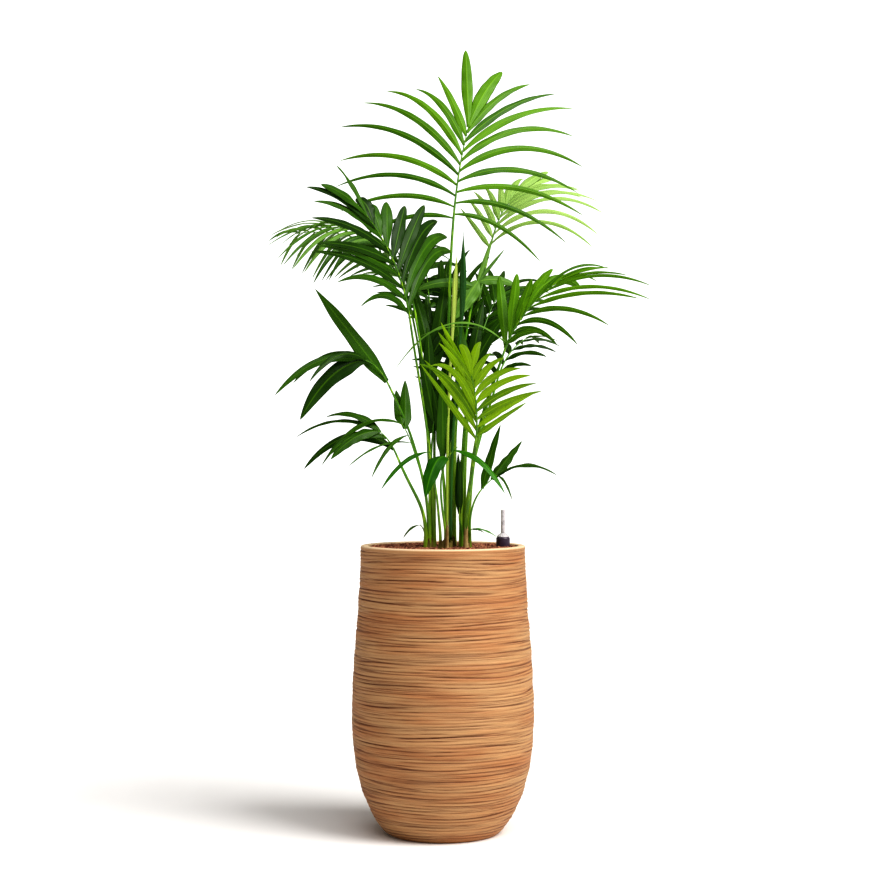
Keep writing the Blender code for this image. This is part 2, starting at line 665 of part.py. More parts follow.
def pinnate_leaves(frond, random):
    """Leaflets in two rows along the rib, in the plane of the rib and the frond's side."""
    order = np.arange(frond.pairs)
    rows = []
    for hand, stagger in ((1.0, STAGGER), (-1.0, 0.0)):
        along = np.minimum((order + stagger) / (frond.pairs - 1), 1.0)
        rows.append(np.column_stack([np.full(frond.pairs, hand), along]))
    hand, along = np.vstack(rows).T
    jitter = random.uniform(-1, 1, (len(along), 4))
    place = FIRST_LEAFLET + (LAST_LEAFLET - FIRST_LEAFLET) * along
    root, rib = bezier([frond.collar, frond.bend, frond.tip], place)
    hint = unit(np.array(frond.side))
    side = unit(hint - (rib @ hint)[:, None] * rib)
    face = np.cross(side, rib)
    sides = []
    for leaflets in (frond.right, frond.left):
        sides.append([graded(values, along) for values in leaflets])
    angle, length, sag = np.where(hand > 0, sides[0], sides[1])
    angle = angle + ANGLE_SPREAD * jitter[:, 0]
    length = length * (1 + LENGTH_SPREAD * jitter[:, 1])
    sag = sag * (1 + SAG_SPREAD * jitter[:, 2])
    width = graded(frond.width, along)
    blunt = np.zeros(len(along), bool)
    if frond.ends:
        last = [frond.pairs - 1, 2 * frond.pairs - 1]
        angle[last], length[last], width[last], sag[last] = np.transpose(frond.ends)
        blunt[last] = True
    angle = np.radians(angle)[:, None]
    lift = (frond.lift + LIFT_SPREAD * jitter[:, 3])[:, None]
    start = unit(rib * np.cos(angle) + side * hand[:, None] * np.sin(angle) + face * lift)
    return Leaves(root, start, face, length, width, sag, blunt)


def broad_leaves(frond):
    """The few broad leaves of a young frond, each with its own heading and rise."""
    values = np.array(frond.blades, float)
    root, _ = bezier([frond.collar, frond.bend, frond.tip], values[:, 0])
    heading, rise = np.radians(values[:, 1]), np.radians(values[:, 2])
    level = np.column_stack([np.cos(heading), np.sin(heading), np.zeros(len(values))])
    start = level * np.cos(rise)[:, None] + np.array([0, 0, 1.0]) * np.sin(rise)[:, None]
    face = np.tile(unit(np.array(frond.face)), (len(values), 1))
    blunt = np.zeros(len(values), bool)
    return Leaves(root, start, face, values[:, 3], values[:, 4], values[:, 5], blunt)


def leaf_curves(leaves):
    """Centre line, width direction and upper side of each leaflet.

    A leaflet's direction is its first one plus a downward pull that grows with the distance from
    the rib to the power SAG_GROWTH, at length 1. Its centre line is the running sum of those
    directions. The upper side is the frond's face with the part along the leaflet taken off.
    """
    middle = (np.arange(SAMPLES) + 0.5) / SAMPLES
    pull = leaves.sag[:, None, None] * (middle**SAG_GROWTH)[None, :, None]
    steps = unit(leaves.start[:, None, :] - pull * np.array([0, 0, 1.0]))
    run = np.cumsum(steps, axis=1) * (leaves.length / SAMPLES)[:, None, None]
    line = leaves.root[:, None, :] + np.concatenate([np.zeros_like(run[:, :1]), run], axis=1)
    between = (steps[:, 1:] + steps[:, :-1]) / 2
    along = unit(np.concatenate([steps[:, :1], between, steps[:, -1:]], axis=1))
    face = leaves.face[:, None, :]
    upper = unit(face - np.sum(face * along, axis=-1, keepdims=True) * along)
    return line, np.cross(along, upper), upper


def leaf_outline(shares, is_end):
    """Width of a leaflet along its length as a share of its greatest width.

    It widens in a straight line from a narrow root, then narrows as 1 - share^p, to the power q.
    An end leaflet widens more slowly and stays broad until it is blunt at the tip.
    """
    root, widening, p, q = np.where(is_end, BLUNT, SLENDER)
    return np.minimum(1, root + widening * shares) * (1 - shares**p) ** q


def leaf_stations(cuts):
    """Indices of the centre line's samples where the solid leaflet has its corners."""
    return np.round(np.linspace(0.0, 1.0, cuts + 1) ** STATION_GRADE * SAMPLES).astype(int)


def leaf_strip(line, across, leaf_width, is_end, cuts):
    """Corners of a leaflet's flat strip, two at each station and one at the tip."""
    stations = leaf_stations(cuts)[:-1]
    half = leaf_outline(stations / SAMPLES, is_end)[:, None] * leaf_width / 2
    left = line[stations] - across[stations] * half
    right = line[stations] + across[stations] * half
    pairs = np.stack([left, right], axis=1).reshape(-1, 3)
    return np.vstack([pairs, line[-1:]])


def strip_faces(cuts):
    """Quads of a strip whose corners come in pairs, then the triangle at the tip."""
    quads = [(2 * i, 2 * i + 1, 2 * i + 3, 2 * i + 2) for i in range(cuts - 1)]
    return quads + [(2 * cuts - 2, 2 * cuts - 1, 2 * cuts)]


def probe(strip, upper, thickness, cuts):
    """A search tree of the leaflet's two sides and its edges, a clearance outside its solid."""
    normals = np.repeat(upper[leaf_stations(cuts)], 2, axis=0)[:-1]
    offset = normals * (thickness / 2 + 2 * CLEARANCE)
    corners = np.vstack([strip + offset, strip - offset])
    count = len(strip)
    faces = strip_faces(cuts)
    faces = faces + [tuple(i + count for i in face) for face in faces]
    for side in (0, 1):
        edge = list(range(side, count - 1, 2)) + [count - 1]
        for first, second in zip(edge, edge[1:]):
            faces.append((first, second, second + count, first + count))
    return BVHTree.FromPolygons(corners.tolist(), faces), corners, faces


def solid_tree(obj):
    """A search tree of an object's evaluated surface in world space."""
    bpy.context.view_layer.update()
    graph = bpy.context.evaluated_depsgraph_get()
    evaluated = obj.evaluated_get(graph)
    mesh = evaluated.to_mesh()
    corners = [obj.matrix_world @ vertex.co for vertex in mesh.vertices]
    faces = [tuple(polygon.vertices) for polygon in mesh.polygons]
    evaluated.to_mesh_clear()
    return BVHTree.FromPolygons(corners, faces)


def add_leaflet(name, strip, thickness, cuts, material, collection):
    """One leaflet: a flat strip with a Solidify modifier of even thickness."""
    mesh = bpy.data.meshes.new(name)
    mesh.from_pydata(strip.tolist(), [], strip_faces(cuts))
    mesh.materials.append(material)
    obj = bpy.data.objects.new(name, mesh)
    collection.objects.link(obj)
    solidify = obj.modifiers.new("Thickness", "SOLIDIFY")
    solidify.thickness = thickness
    solidify.offset = 0.0
    return obj


def grow_leaflets(frond, leaves, others, collection):
    """Add each leaflet at the first lift that keeps it clear of the other pieces, or skip it."""
    corners, faces, count = [], [], 0
    for i in range(len(leaves.root)):
        for lift in LIFTS:
            start = unit(leaves.start[i] + lift * leaves.face[i])
            one = Leaves(leaves.root[i:i + 1], start[None], leaves.face[i:i + 1],
                         leaves.length[i:i + 1], leaves.width[i:i + 1], leaves.sag[i:i + 1],
                         leaves.blunt[i:i + 1])
            line, across, upper = (values[0] for values in leaf_curves(one))
            strip = leaf_strip(line, across, leaves.width[i], leaves.blunt[i], frond.cuts)
            thickness = max(LEAF_THICKNESS * leaves.length[i], LEAST_THICKNESS)
            tree, probe_corners, probe_faces = probe(strip, upper, thickness, frond.cuts)
            if not any(tree.overlap(other) for other in others):
                add_leaflet(f"leaflet_{i:02d}", strip, thickness, frond.cuts,
                            finish(frond.finish), collection)
                faces += [tuple(c + count for c in face) for face in probe_faces]
                corners += probe_corners.tolist()
                count = len(corners)
                break
    return BVHTree.FromPolygons(corners, faces)


def keep_outer_skin(mesh):
    """Drop the skins of the small hollows that crossing leaflets close in at the rib."""
    skin = bmesh.new()
    skin.from_mesh(mesh)
    left = set(skin.verts)
    islands = []
    while left:
        island, front = set(), {left.pop()}
        while front:
            island |= front
            near = {edge.other_vert(vert) for vert in front for edge in vert.link_edges}
            front = near - island
        left -= island
        islands.append(island)
    islands.sort(key=len)
    inner = [vert for island in islands[:-1] for vert in island]
    if len(inner) > INNER_SKIN_LIMIT:
        raise ValueError(f"{mesh.name} has a leaflet that misses its rib")
    bmesh.ops.delete(skin, geom=inner, context="VERTS")
    skin.to_mesh(mesh)
    skin.free()


def join_frond(rib, leaflets):
    """One union of the rib and the collection of its leaflets, applied, the leaflets removed."""
    union = rib.modifiers.new("Join", "BOOLEAN")
    union.operation = "UNION"
    union.operand_type = "COLLECTION"
    union.collection = leaflets
    union.solver = "EXACT"
    bpy.context.view_layer.update()
    graph = bpy.context.evaluated_depsgraph_get()
    joined = bpy.data.meshes.new_from_object(rib.evaluated_get(graph))
    rib.modifiers.clear()
    keep_outer_skin(joined)
    rib.data = joined
    for obj in list(leaflets.objects):
        bpy.data.objects.remove(obj, do_unlink=True)
    bpy.data.collections.remove(leaflets)


def main():
    """Build the planter, the stems, the petioles and the fronds in that order."""
    clear_scene()
    palm = new_collection("kentia_palm")
    build_planter(palm)
    build_substrate(palm)
    build_gauge(palm)
    for stem in STEMS:
        build_stem(stem, palm)
    for frond in FRONDS:
        build_petiole(frond, palm)
    for spear in SPEARS:
        build_spear(spear, palm)
    limb_trees = [solid_tree(obj) for obj in palm.objects]
    ribs = {frond.name: build_rib(frond, palm) for frond in FRONDS}
    frond_trees = {name: solid_tree(rib) for name, rib in ribs.items()}
    for number, frond in enumerate(FRONDS):
        random = np.random.default_rng(number)
        leaves = broad_leaves(frond) if frond.blades else pinnate_leaves(frond, random)
        others = limb_trees + [tree for name, tree in frond_trees.items() if name != frond.name]
        leaflets = new_collection("leaflets_" + frond.name)
        leaf_tree = grow_leaflets(frond, leaves, others, leaflets)
        join_frond(ribs[frond.name], leaflets)
        frond_trees[frond.name + "_leaflets"] = leaf_tree


main()
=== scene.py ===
"""A potted kentia palm, dressed: leaflets, stalks, sheaths, planter, granules and water gauge.

Metres, +Z up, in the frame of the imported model. The tables of stems, fronds and spears put each
leaflet where its solid is. A few leaflets are broader, slimmer or turned further towards the
viewer than their solids, because the photograph shows them so.
"""

import logging
import math
from collections.abc import Callable
from dataclasses import dataclass, field
from enum import Enum
from typing import NamedTuple

import bmesh
import bpy
import numpy as np
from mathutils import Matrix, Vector


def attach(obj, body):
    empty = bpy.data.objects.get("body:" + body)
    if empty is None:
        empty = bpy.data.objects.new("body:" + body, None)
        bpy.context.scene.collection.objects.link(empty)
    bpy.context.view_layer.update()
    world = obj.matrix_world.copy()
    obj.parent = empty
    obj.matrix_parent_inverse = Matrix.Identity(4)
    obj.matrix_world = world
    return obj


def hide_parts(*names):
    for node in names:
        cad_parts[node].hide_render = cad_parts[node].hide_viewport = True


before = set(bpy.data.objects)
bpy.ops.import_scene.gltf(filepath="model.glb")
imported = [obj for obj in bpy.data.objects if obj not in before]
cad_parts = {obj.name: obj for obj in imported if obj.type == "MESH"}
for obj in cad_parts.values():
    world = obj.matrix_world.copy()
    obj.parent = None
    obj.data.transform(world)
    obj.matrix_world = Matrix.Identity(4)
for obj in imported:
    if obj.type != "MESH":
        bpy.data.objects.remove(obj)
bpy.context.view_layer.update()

LOG = logging.getLogger("palm")

UP = np.array([0.0, 0.0, 1.0])
TURN = 2 * math.pi
CLEARANCE = 0.0003          # air between pieces that rest on each other
FACING = (0.10, -1.0, 0.30)  # towards the viewer and a little up

# Planter
RIM_HEIGHT = 0.698
RIM_RADIUS = 0.2005
BELLY_HEIGHT = 0.29
BELLY_RADIUS = 0.2217
FOOT_RADIUS = 0.133
TUCK_RISE = 2.3
TUCK_TURN = 0.75
WALL = 0.018
FLOOR = 0.020
LIP = 0.0045

# Substrate and gauge
SOIL_LEVEL = 0.689
SOIL_DISH = 0.002
GAUGE_PLACE = (0.147, 0.018)
GAUGE_BASE = SOIL_LEVEL + SOIL_DISH + CLEARANCE
DOME_BASE = GAUGE_BASE + 0.0258
TUBE_BASE = GAUGE_BASE + 0.0366
FLOAT_RADIUS = 0.0021
FLOAT_SINK = 0.0009         # how far the float's middle is below the tube's foot

# Stems and petioles
STEM_HEIGHT = 0.022
SEAT_RADIUS = 0.0063
PETIOLE_RISE = 0.40
PETIOLE_REACH = 0.35
RIB_TIP_RADIUS = 0.0009

# Leaflets
FIRST_LEAFLET = 0.05
LAST_LEAFLET = 0.97
STAGGER = 0.35
SAG_GROWTH = 0.85
ANGLE_SPREAD = 1.5
LENGTH_SPREAD = 0.04
SAG_SPREAD = 0.06
LIFT_SPREAD = 0.05
ROOT_WIDTH = 0.26           # share of a leaflet's greatest width


class Slot(Enum):
    """The material slots of the record that the pieces take their finish from."""

    PLANTER = "planter_clay"
    SUBSTRATE = "substrate"
    GAUGE_DARK = "gauge_dark"
    GAUGE_CLEAR = "gauge_clear"
    SHEATH = "stem_sheath"
    PETIOLE = "petiole_green"
    DARK = "leaf_dark"
    FINE = "leaf_fine"
    MID = "leaf_mid"
    BRIGHT = "leaf_bright"
    LIME = "leaf_lime"
    PALE = "leaf_pale"
    SPEAR = "leaf_spear"


class Hand(Enum):
    """The two sides of a rib, with how far their leaflets sit ahead, in spacings."""

    RIGHT = (1.0, STAGGER)
    LEFT = (-1.0, 0.0)


class Stem(NamedTuple):
    """A short stem: its name and where its axis meets the substrate."""

    name: str
    x: float
    y: float


class Leaflets(NamedTuple):
    """The leaflets on one side of a rib, each value at even steps from its foot to its tip."""

    angle: tuple
    length: tuple
    sag: tuple


class End(NamedTuple):
    """The last leaflet on one side of a rib, which is broader and blunter than the others."""

    angle: float
    length: float
    width: float
    sag: float


class Blade(NamedTuple):
    """One broad leaf of a young frond: share of the rib, heading, rise, length, width and sag."""

    at: float
    heading: float
    rise: float
    length: float
    width: float
    sag: float


class Outline(NamedTuple):
    """A leaflet's outline: where it starts and stops widening, and the two powers of its tip."""

    start: float
    stop: float
    inner: float
    outer: float

    def width(self, share: np.ndarray) -> np.ndarray:
        """Share of the greatest width, at shares u of the length: widening (1 - u^p)^q."""
        widening = ROOT_WIDTH + (1 - ROOT_WIDTH) * smooth(share, self.start, self.stop)
        return widening * (1 - share**self.inner) ** self.outer


SLENDER = Outline(-0.04, 0.24, 2.4, 0.8)
BLUNT = Outline(-0.06, 0.50, 4, 0.6)


@dataclass(frozen=True)
class Frond:
    """A petiole and its frond, with the three points that its rib follows."""

    name: str
    stem: str
    seat: float
    collar: tuple
    bend: tuple
    tip: tuple
    side: tuple = (1.0, 0.0, 0.0)
    pairs: int = 0
    right: Leaflets | None = None
    left: Leaflets | None = None
    width: tuple = (0.02, 0.02, 0.02)
    ends: tuple = ()
    blades: tuple = ()
    face: tuple = (0.0, -0.35, 1.0)
    lift: float = 0.05
    petiole_radius: tuple = (0.0040, 0.0027)
    finish: Slot = Slot.DARK
    full: Hand | None = None    # side whose leaflets are finger-shaped and face the viewer
    full_width: float = 0.034
    full_share: float = 1.0     # how far up the rib they go

    @property
    def rib(self) -> list:
        """The three points that the rib follows."""
        return [self.collar, self.bend, self.tip]


@dataclass(frozen=True)
class Spear:
    """A new frond that is still folded: a slim stalk that swells and ends in a point."""

    name: str
    stem: str
    seat: float
    swell: tuple
    tip: tuple
    stalk_radius: float
    swell_radius: float


STEMS = (
    Stem("stem_left", -0.038, -0.010),
    Stem("stem_left_back", -0.026, 0.022),
    Stem("stem_front", 0.000, -0.042),
    Stem("stem_centre", 0.013, -0.002),
    Stem("stem_back", 0.022, 0.044),
    Stem("stem_right_back", 0.050, 0.024),
    Stem("stem_right", 0.060, -0.016),
)

FRONDS = (
    Frond(
        "crown", "stem_back", 240.0,
        collar=(0.025, 0.090, 1.492), bend=(0.036, 0.120, 1.636), tip=(0.066, 0.170, 1.754),
        pairs=10, lift=-0.06,
        right=Leaflets((80, 61, 35, 30, 12), (0.251, 0.336, 0.365, 0.344, 0.234),
                       (1.41, 0.89, 1.09, 0.59, 0.64)),
        left=Leaflets((75, 56, 42, 30, 26), (0.268, 0.340, 0.400, 0.280, 0.156),
                       (0.97, 0.88, 0.79, 0.86, 0.01)),
        width=(0.013, 0.020, 0.023),
        ends=(End(4, 0.235, 0.038, 0.54), End(14, 0.262, 0.031, 0.30)),
        petiole_radius=(0.0042, 0.0032), finish=Slot.MID,
    ),
    Frond(
        "back_right", "stem_right_back", 60.0,
        collar=(0.117, 0.200, 1.434), bend=(0.143, 0.250, 1.546), tip=(0.186, 0.330, 1.597),
        side=(0.75, -0.50, -0.45), pairs=8, lift=0.30,
        right=Leaflets((44, 34, 32, 19), (0.286, 0.317, 0.224, 0.215), (1.55, 1.14, 0.94, 0.74)),
        left=Leaflets((42, 27, 17, 5), (0.133, 0.140, 0.114, 0.175), (0.10, 0.72, 0.89, 0.74)),
        width=(0.014, 0.020, 0.020),
        ends=(End(17, 0.152, 0.028, 0.44), End(-9, 0.152, 0.028, 0.44)),
        finish=Slot.PALE,
    ),
    Frond(
        "left_front", "stem_left_back", 310.0,
        collar=(-0.079, -0.070, 1.242), bend=(-0.097, -0.120, 1.376), tip=(-0.180, -0.180, 1.482),
        side=(0.50, 0.80, 0.10), pairs=9, lift=-0.06,
        right=Leaflets((51, 60, 69, 43, 43), (0.316, 0.340, 0.194, 0.119, 0.090),
                       (0.90, 0.89, 0.00, 0.97, 1.09)),
        left=Leaflets((27, 35, 40, 5, 5), (0.213, 0.340, 0.281, 0.218, 0.199),
                       (1.12, 0.53, 0.40, 0.78, 0.71)),
        width=(0.017, 0.024, 0.023),
        ends=(End(35, 0.15, 0.024, 0.57), End(4, 0.15, 0.024, 0.57)), full=Hand.RIGHT,
    ),
    Frond(
        "left_back", "stem_left_back", 130.0,
        collar=(-0.066, 0.040, 1.254), bend=(-0.106, 0.070, 1.492), tip=(-0.302, 0.110, 1.492),
        side=(0.15, 0.95, 0.20), pairs=12, lift=0.13,
        right=Leaflets((6, 6, 40), (0.161, 0.230, 0.263), (1.62, 1.86, 0.49)),
        left=Leaflets((5, 48, 75), (0.103, 0.258, 0.300), (0.00, 2.15, 0.44)),
        width=(0.015, 0.018, 0.013), finish=Slot.FINE,
    ),
    Frond(
        "back_left", "stem_left_back", 40.0,
        collar=(-0.028, 0.120, 1.230), bend=(-0.038, 0.200, 1.350), tip=(-0.050, 0.340, 1.454),
        side=(0.95, 0.25, 0.00), pairs=7,
        right=Leaflets((45, 42, 25), (0.14, 0.20, 0.15), (0.60, 0.90, 1.00)),
        left=Leaflets((45, 42, 25), (0.14, 0.19, 0.15), (0.60, 0.90, 1.00)),
        width=(0.018, 0.024, 0.020),
    ),
    Frond(
        "centre_left", "stem_centre", 120.0,
        collar=(0.032, 0.094, 1.179), bend=(0.024, 0.134, 1.280), tip=(-0.008, 0.200, 1.356),
        side=(0.80, -0.50, 0.20), pairs=6,
        right=Leaflets((40, 40, 20), (0.14, 0.18, 0.13), (0.40, 0.70, 0.90)),
        left=Leaflets((45, 45, 25), (0.12, 0.16, 0.12), (0.30, 0.60, 0.80)),
        width=(0.018, 0.026, 0.024),
    ),
    Frond(
        "centre_back", "stem_back", 0.0,
        collar=(0.050, 0.150, 1.175), bend=(0.061, 0.200, 1.263), tip=(0.071, 0.290, 1.328),
        side=(1.0, -0.10, 0.0), pairs=6,
        right=Leaflets((45, 40, 20), (0.16, 0.19, 0.14), (0.30, 0.50, 0.70)),
        left=Leaflets((45, 40, 20), (0.16, 0.19, 0.14), (0.30, 0.50, 0.70)),
        width=(0.018, 0.028, 0.024),
    ),
    Frond(
        "centre_right", "stem_right_back", 190.0,
        collar=(0.079, 0.080, 1.149), bend=(0.103, 0.110, 1.258), tip=(0.144, 0.170, 1.329),
        side=(0.70, -0.60, -0.30), pairs=7,
        right=Leaflets((40, 40, 20), (0.15, 0.17, 0.14), (0.40, 0.80, 0.90)),
        left=Leaflets((35, 35, 20), (0.15, 0.19, 0.15), (0.20, 0.40, 0.60)),
        width=(0.018, 0.024, 0.022),
    ),
    Frond(
        "right", "stem_right", 60.0,
        collar=(0.147, -0.060, 1.166), bend=(0.182, -0.080, 1.270), tip=(0.283, -0.110, 1.337),
        side=(0.35, -0.70, -0.60), pairs=9, lift=0.0,
        right=Leaflets((33, 34, 35, 14, 5), (0.116, 0.179, 0.313, 0.320, 0.130),
                       (0.64, 1.60, 0.54, 0.97, 0.58)),
        left=Leaflets((45, 19, 25, 23, 5), (0.203, 0.127, 0.179, 0.199, 0.091),
                       (0.04, 0.00, 1.32, 1.09, 0.60)),
        width=(0.018, 0.014, 0.010), finish=Slot.MID, full=Hand.LEFT, full_width=0.028,
        full_share=0.52,
    ),
    Frond(
        "right_back", "stem_right_back", 320.0,
        collar=(0.135, 0.080, 1.103), bend=(0.157, 0.100, 1.180), tip=(0.213, 0.150, 1.212),
        side=(0.50, -0.80, -0.20), pairs=5,
        right=Leaflets((55, 45, 20), (0.10, 0.12, 0.10), (0.80, 1.00, 1.00)),
        left=Leaflets((45, 40, 25), (0.10, 0.12, 0.10), (0.50, 0.80, 1.00)),
        width=(0.014, 0.020, 0.018),
    ),
    Frond(
        "back_low", "stem_back", 120.0,
        collar=(0.014, 0.150, 1.066), bend=(0.020, 0.210, 1.154), tip=(0.030, 0.310, 1.216),
        side=(1.0, 0.0, 0.10), pairs=6,
        right=Leaflets((50, 45, 25), (0.11, 0.15, 0.13), (0.40, 0.60, 0.80)),
        left=Leaflets((50, 45, 25), (0.11, 0.14, 0.12), (0.40, 0.60, 0.80)),
        width=(0.016, 0.022, 0.020),
    ),
    Frond(
        "young_front", "stem_right", 150.0,
        collar=(0.079, -0.080, 0.947), bend=(0.086, -0.120, 1.037), tip=(0.066, -0.170, 1.108),
        side=(1.0, 0.10, 0.10), pairs=9, lift=-0.06,
        right=Leaflets((55, 53, 39, 26), (0.141, 0.174, 0.146, 0.081), (0.02, 0.54, 0.82, 0.61)),
        left=Leaflets((37, 15, 15, 22), (0.240, 0.240, 0.206, 0.141), (0.00, 1.11, 0.00, 0.00)),
        width=(0.016, 0.021, 0.020),
        ends=(End(19, 0.118, 0.022, 0.8), End(-4, 0.118, 0.022, 0.8)),
        finish=Slot.LIME,
    ),
    Frond(
        "left_broad", "stem_left", 60.0,
        collar=(-0.131, -0.050, 1.087), bend=(-0.155, -0.070, 1.136), tip=(-0.186, -0.090, 1.144),
        face=(0.30, -1.0, 0.45), petiole_radius=(0.0040, 0.0026),
        blades=(
            Blade(0.08, -157, 51, 0.285, 0.046, 0.05),
            Blade(0.70, -161, 29, 0.275, 0.024, 1.50),
            Blade(0.90, 159, 34, 0.225, 0.020, 1.50),
            Blade(0.94, -140, 33, 0.195, 0.018, 1.60),
            Blade(0.97, -162, 1, 0.225, 0.046, 1.90),
        ),
    ),
    Frond(
        "left_low", "stem_left", 240.0,
        collar=(-0.106, -0.050, 0.904), bend=(-0.130, -0.060, 0.964), tip=(-0.156, -0.070, 0.976),
        petiole_radius=(0.0044, 0.0034), face=(0.10, -0.8, 0.7),
        blades=(
            Blade(0.25, 170, 42, 0.260, 0.030, 1.60),
            Blade(0.60, -160, 30, 0.170, 0.026, 1.50),
            Blade(0.88, 163, 48, 0.155, 0.024, 1.00),
            Blade(0.93, -156, 7, 0.147, 0.032, 1.30),
            Blade(0.97, 161, 32, 0.230, 0.013, 1.10),
        ),
    ),
    Frond(
        "left_mid", "stem_left", 330.0,
        collar=(-0.074, -0.030, 0.940), bend=(-0.086, -0.034, 0.975), tip=(-0.100, -0.040, 0.994),
        petiole_radius=(0.0032, 0.0022),
        blades=(
            Blade(0.10, -152, 14, 0.185, 0.012, 1.10),
            Blade(0.40, -125, 0, 0.185, 0.014, 1.40),
            Blade(0.70, 91, 68, 0.130, 0.032, 0.05),
            Blade(0.97, -165, 29, 0.245, 0.024, 1.90),
            Blade(0.97, 103, 52, 0.110, 0.030, 0.10),
        ),
    ),
    Frond(
        "right_low", "stem_right", 330.0,
        collar=(0.090, -0.030, 0.830), bend=(0.106, -0.030, 0.852), tip=(0.134, -0.030, 0.870),
        petiole_radius=(0.0030, 0.0022),
        blades=(
            Blade(0.15, 33, 74, 0.165, 0.026, 0.30),
            Blade(0.70, 34, 49, 0.130, 0.034, 0.15),
            Blade(0.97, -12, 40, 0.160, 0.025, 1.20),
            Blade(0.95, -64, 2, 0.100, 0.008, 1.60),
        ),
    ),
    Frond(
        "front_arch", "stem_front", 0.0,
        collar=(-0.001, -0.062, 0.878), bend=(0.008, -0.072, 0.917), tip=(0.036, -0.080, 0.938),
        petiole_radius=(0.0032, 0.0024), finish=Slot.BRIGHT,
        blades=(
            Blade(0.45, -126, 32, 0.145, 0.048, 3.20),
            Blade(0.80, -25, 6, 0.178, 0.028, 1.80),
        ),
    ),
    Frond(
        "front_low", "stem_front", 180.0,
        collar=(-0.024, -0.080, 0.895), bend=(-0.025, -0.084, 0.914), tip=(-0.032, -0.092, 0.926),
        petiole_radius=(0.0032, 0.0024), finish=Slot.BRIGHT,
        blades=(Blade(0.97, -152, 3, 0.163, 0.018, 1.50),),
    ),
    Frond(
        "foot_right", "stem_right", 240.0,
        collar=(0.061, -0.028, 0.732), bend=(0.067, -0.032, 0.738), tip=(0.076, -0.034, 0.740),
        petiole_radius=(0.0022, 0.0018), finish=Slot.BRIGHT,
        blades=(
            Blade(0.60, 10, 15, 0.034, 0.011, 1.00),
            Blade(0.97, -4, 5, 0.062, 0.011, 0.90),
        ),
    ),
    Frond(
        "foot_left", "stem_left", 150.0,
        collar=(-0.047, -0.006, 0.735), bend=(-0.050, -0.007, 0.743), tip=(-0.056, -0.010, 0.748),
        petiole_radius=(0.0022, 0.0018),
        blades=(Blade(0.90, 200, 10, 0.058, 0.010, 1.80),),
    ),
)

# Shoots among the stalks, too small or too far inside for a solid of their own
SHOOTS = (
    Frond(
        "inner_broad", "stem_left_back", 220.0,
        collar=(-0.026, 0.010, 0.958), bend=(-0.024, 0.010, 0.980), tip=(-0.022, 0.010, 1.000),
        blades=(
            Blade(0.30, 110, 82, 0.270, 0.044, 0.10),
            Blade(0.80, 20, 76, 0.230, 0.038, 0.20),
            Blade(0.95, 170, 80, 0.180, 0.030, 0.30),
        ),
        face=FACING,
    ),
    Frond(
        "inner_low", "stem_centre", 200.0,
        collar=(0.000, 0.000, 0.900), bend=(0.000, 0.002, 0.920), tip=(0.002, 0.004, 0.940),
        blades=(
            Blade(0.30, -100, 86, 0.190, 0.034, 0.10),
            Blade(0.60, 20, 78, 0.170, 0.030, 0.20),
            Blade(0.90, 160, 80, 0.150, 0.024, 0.20),
        ),
        face=FACING,
    ),
    Frond(
        "inner_right", "stem_right_back", 120.0,
        collar=(0.060, 0.040, 1.060), bend=(0.062, 0.046, 1.090), tip=(0.066, 0.052, 1.120),
        blades=(
            Blade(0.20, 60, 74, 0.250, 0.040, 0.30),
            Blade(0.60, 150, 78, 0.230, 0.036, 0.20),
            Blade(0.90, 10, 66, 0.210, 0.030, 0.50),
        ),
        face=FACING,
    ),
    Frond(
        "inner_base", "stem_right_back", 240.0,
        collar=(0.040, 0.010, 0.770), bend=(0.040, 0.010, 0.780), tip=(0.041, 0.011, 0.790),
        blades=(
            Blade(0.20, 100, 84, 0.150, 0.020, 0.10),
            Blade(0.90, -80, 84, 0.120, 0.016, 0.20),
        ),
    ),
    Frond(
        "pale_back", "stem_back", 60.0,
        collar=(0.074, 0.080, 1.300), bend=(0.080, 0.084, 1.328), tip=(0.088, 0.090, 1.352),
        blades=(
            Blade(0.95, 212, -50, 0.118, 0.050, 0.30),
            Blade(0.90, 10, 22, 0.110, 0.030, 0.90),
            Blade(0.60, 190, 24, 0.170, 0.030, 0.90),
            Blade(0.80, 50, 64, 0.150, 0.012, 0.10),
            Blade(0.85, 30, 50, 0.120, 0.010, 0.10),
        ),
        face=(0.10, -1.0, 0.45), finish=Slot.FINE,
    ),
    Frond(
        "inner_left", "stem_centre", 160.0,
        collar=(-0.024, 0.046, 1.110), bend=(-0.026, 0.048, 1.135), tip=(-0.030, 0.050, 1.160),
        blades=(
            Blade(0.20, 60, 76, 0.260, 0.042, 0.15),
            Blade(0.60, 130, 72, 0.240, 0.038, 0.30),
            Blade(0.80, 100, 70, 0.190, 0.032, 0.30),
            Blade(0.95, 20, 62, 0.200, 0.034, 0.50),
        ),
        face=FACING,
    ),
    Frond(
        "cross_left", "stem_left_back", 150.0,
        collar=(-0.078, 0.050, 1.270), bend=(-0.130, 0.080, 1.500), tip=(-0.370, 0.095, 1.468),
        side=(0.05, -0.50, 0.86), pairs=12,
        right=Leaflets((25, 40, 45, 35), (0.08, 0.12, 0.13, 0.09), (0.60, 1.10, 1.30, 1.20)),
        left=Leaflets((35, 50, 55, 40), (0.10, 0.15, 0.15, 0.10), (0.30, 0.60, 0.80, 0.80)),
        width=(0.010, 0.010, 0.008), finish=Slot.FINE,
    ),
    Frond(
        "arch", "stem_right", 100.0,
        collar=(0.148, -0.056, 1.166), bend=(0.152, -0.058, 1.176), tip=(0.158, -0.060, 1.190),
        blades=(
            Blade(0.70, 184, 50, 0.330, 0.015, 1.75),
            Blade(0.90, 176, 38, 0.250, 0.010, 1.10),
        ),
        finish=Slot.FINE,
    ),
)

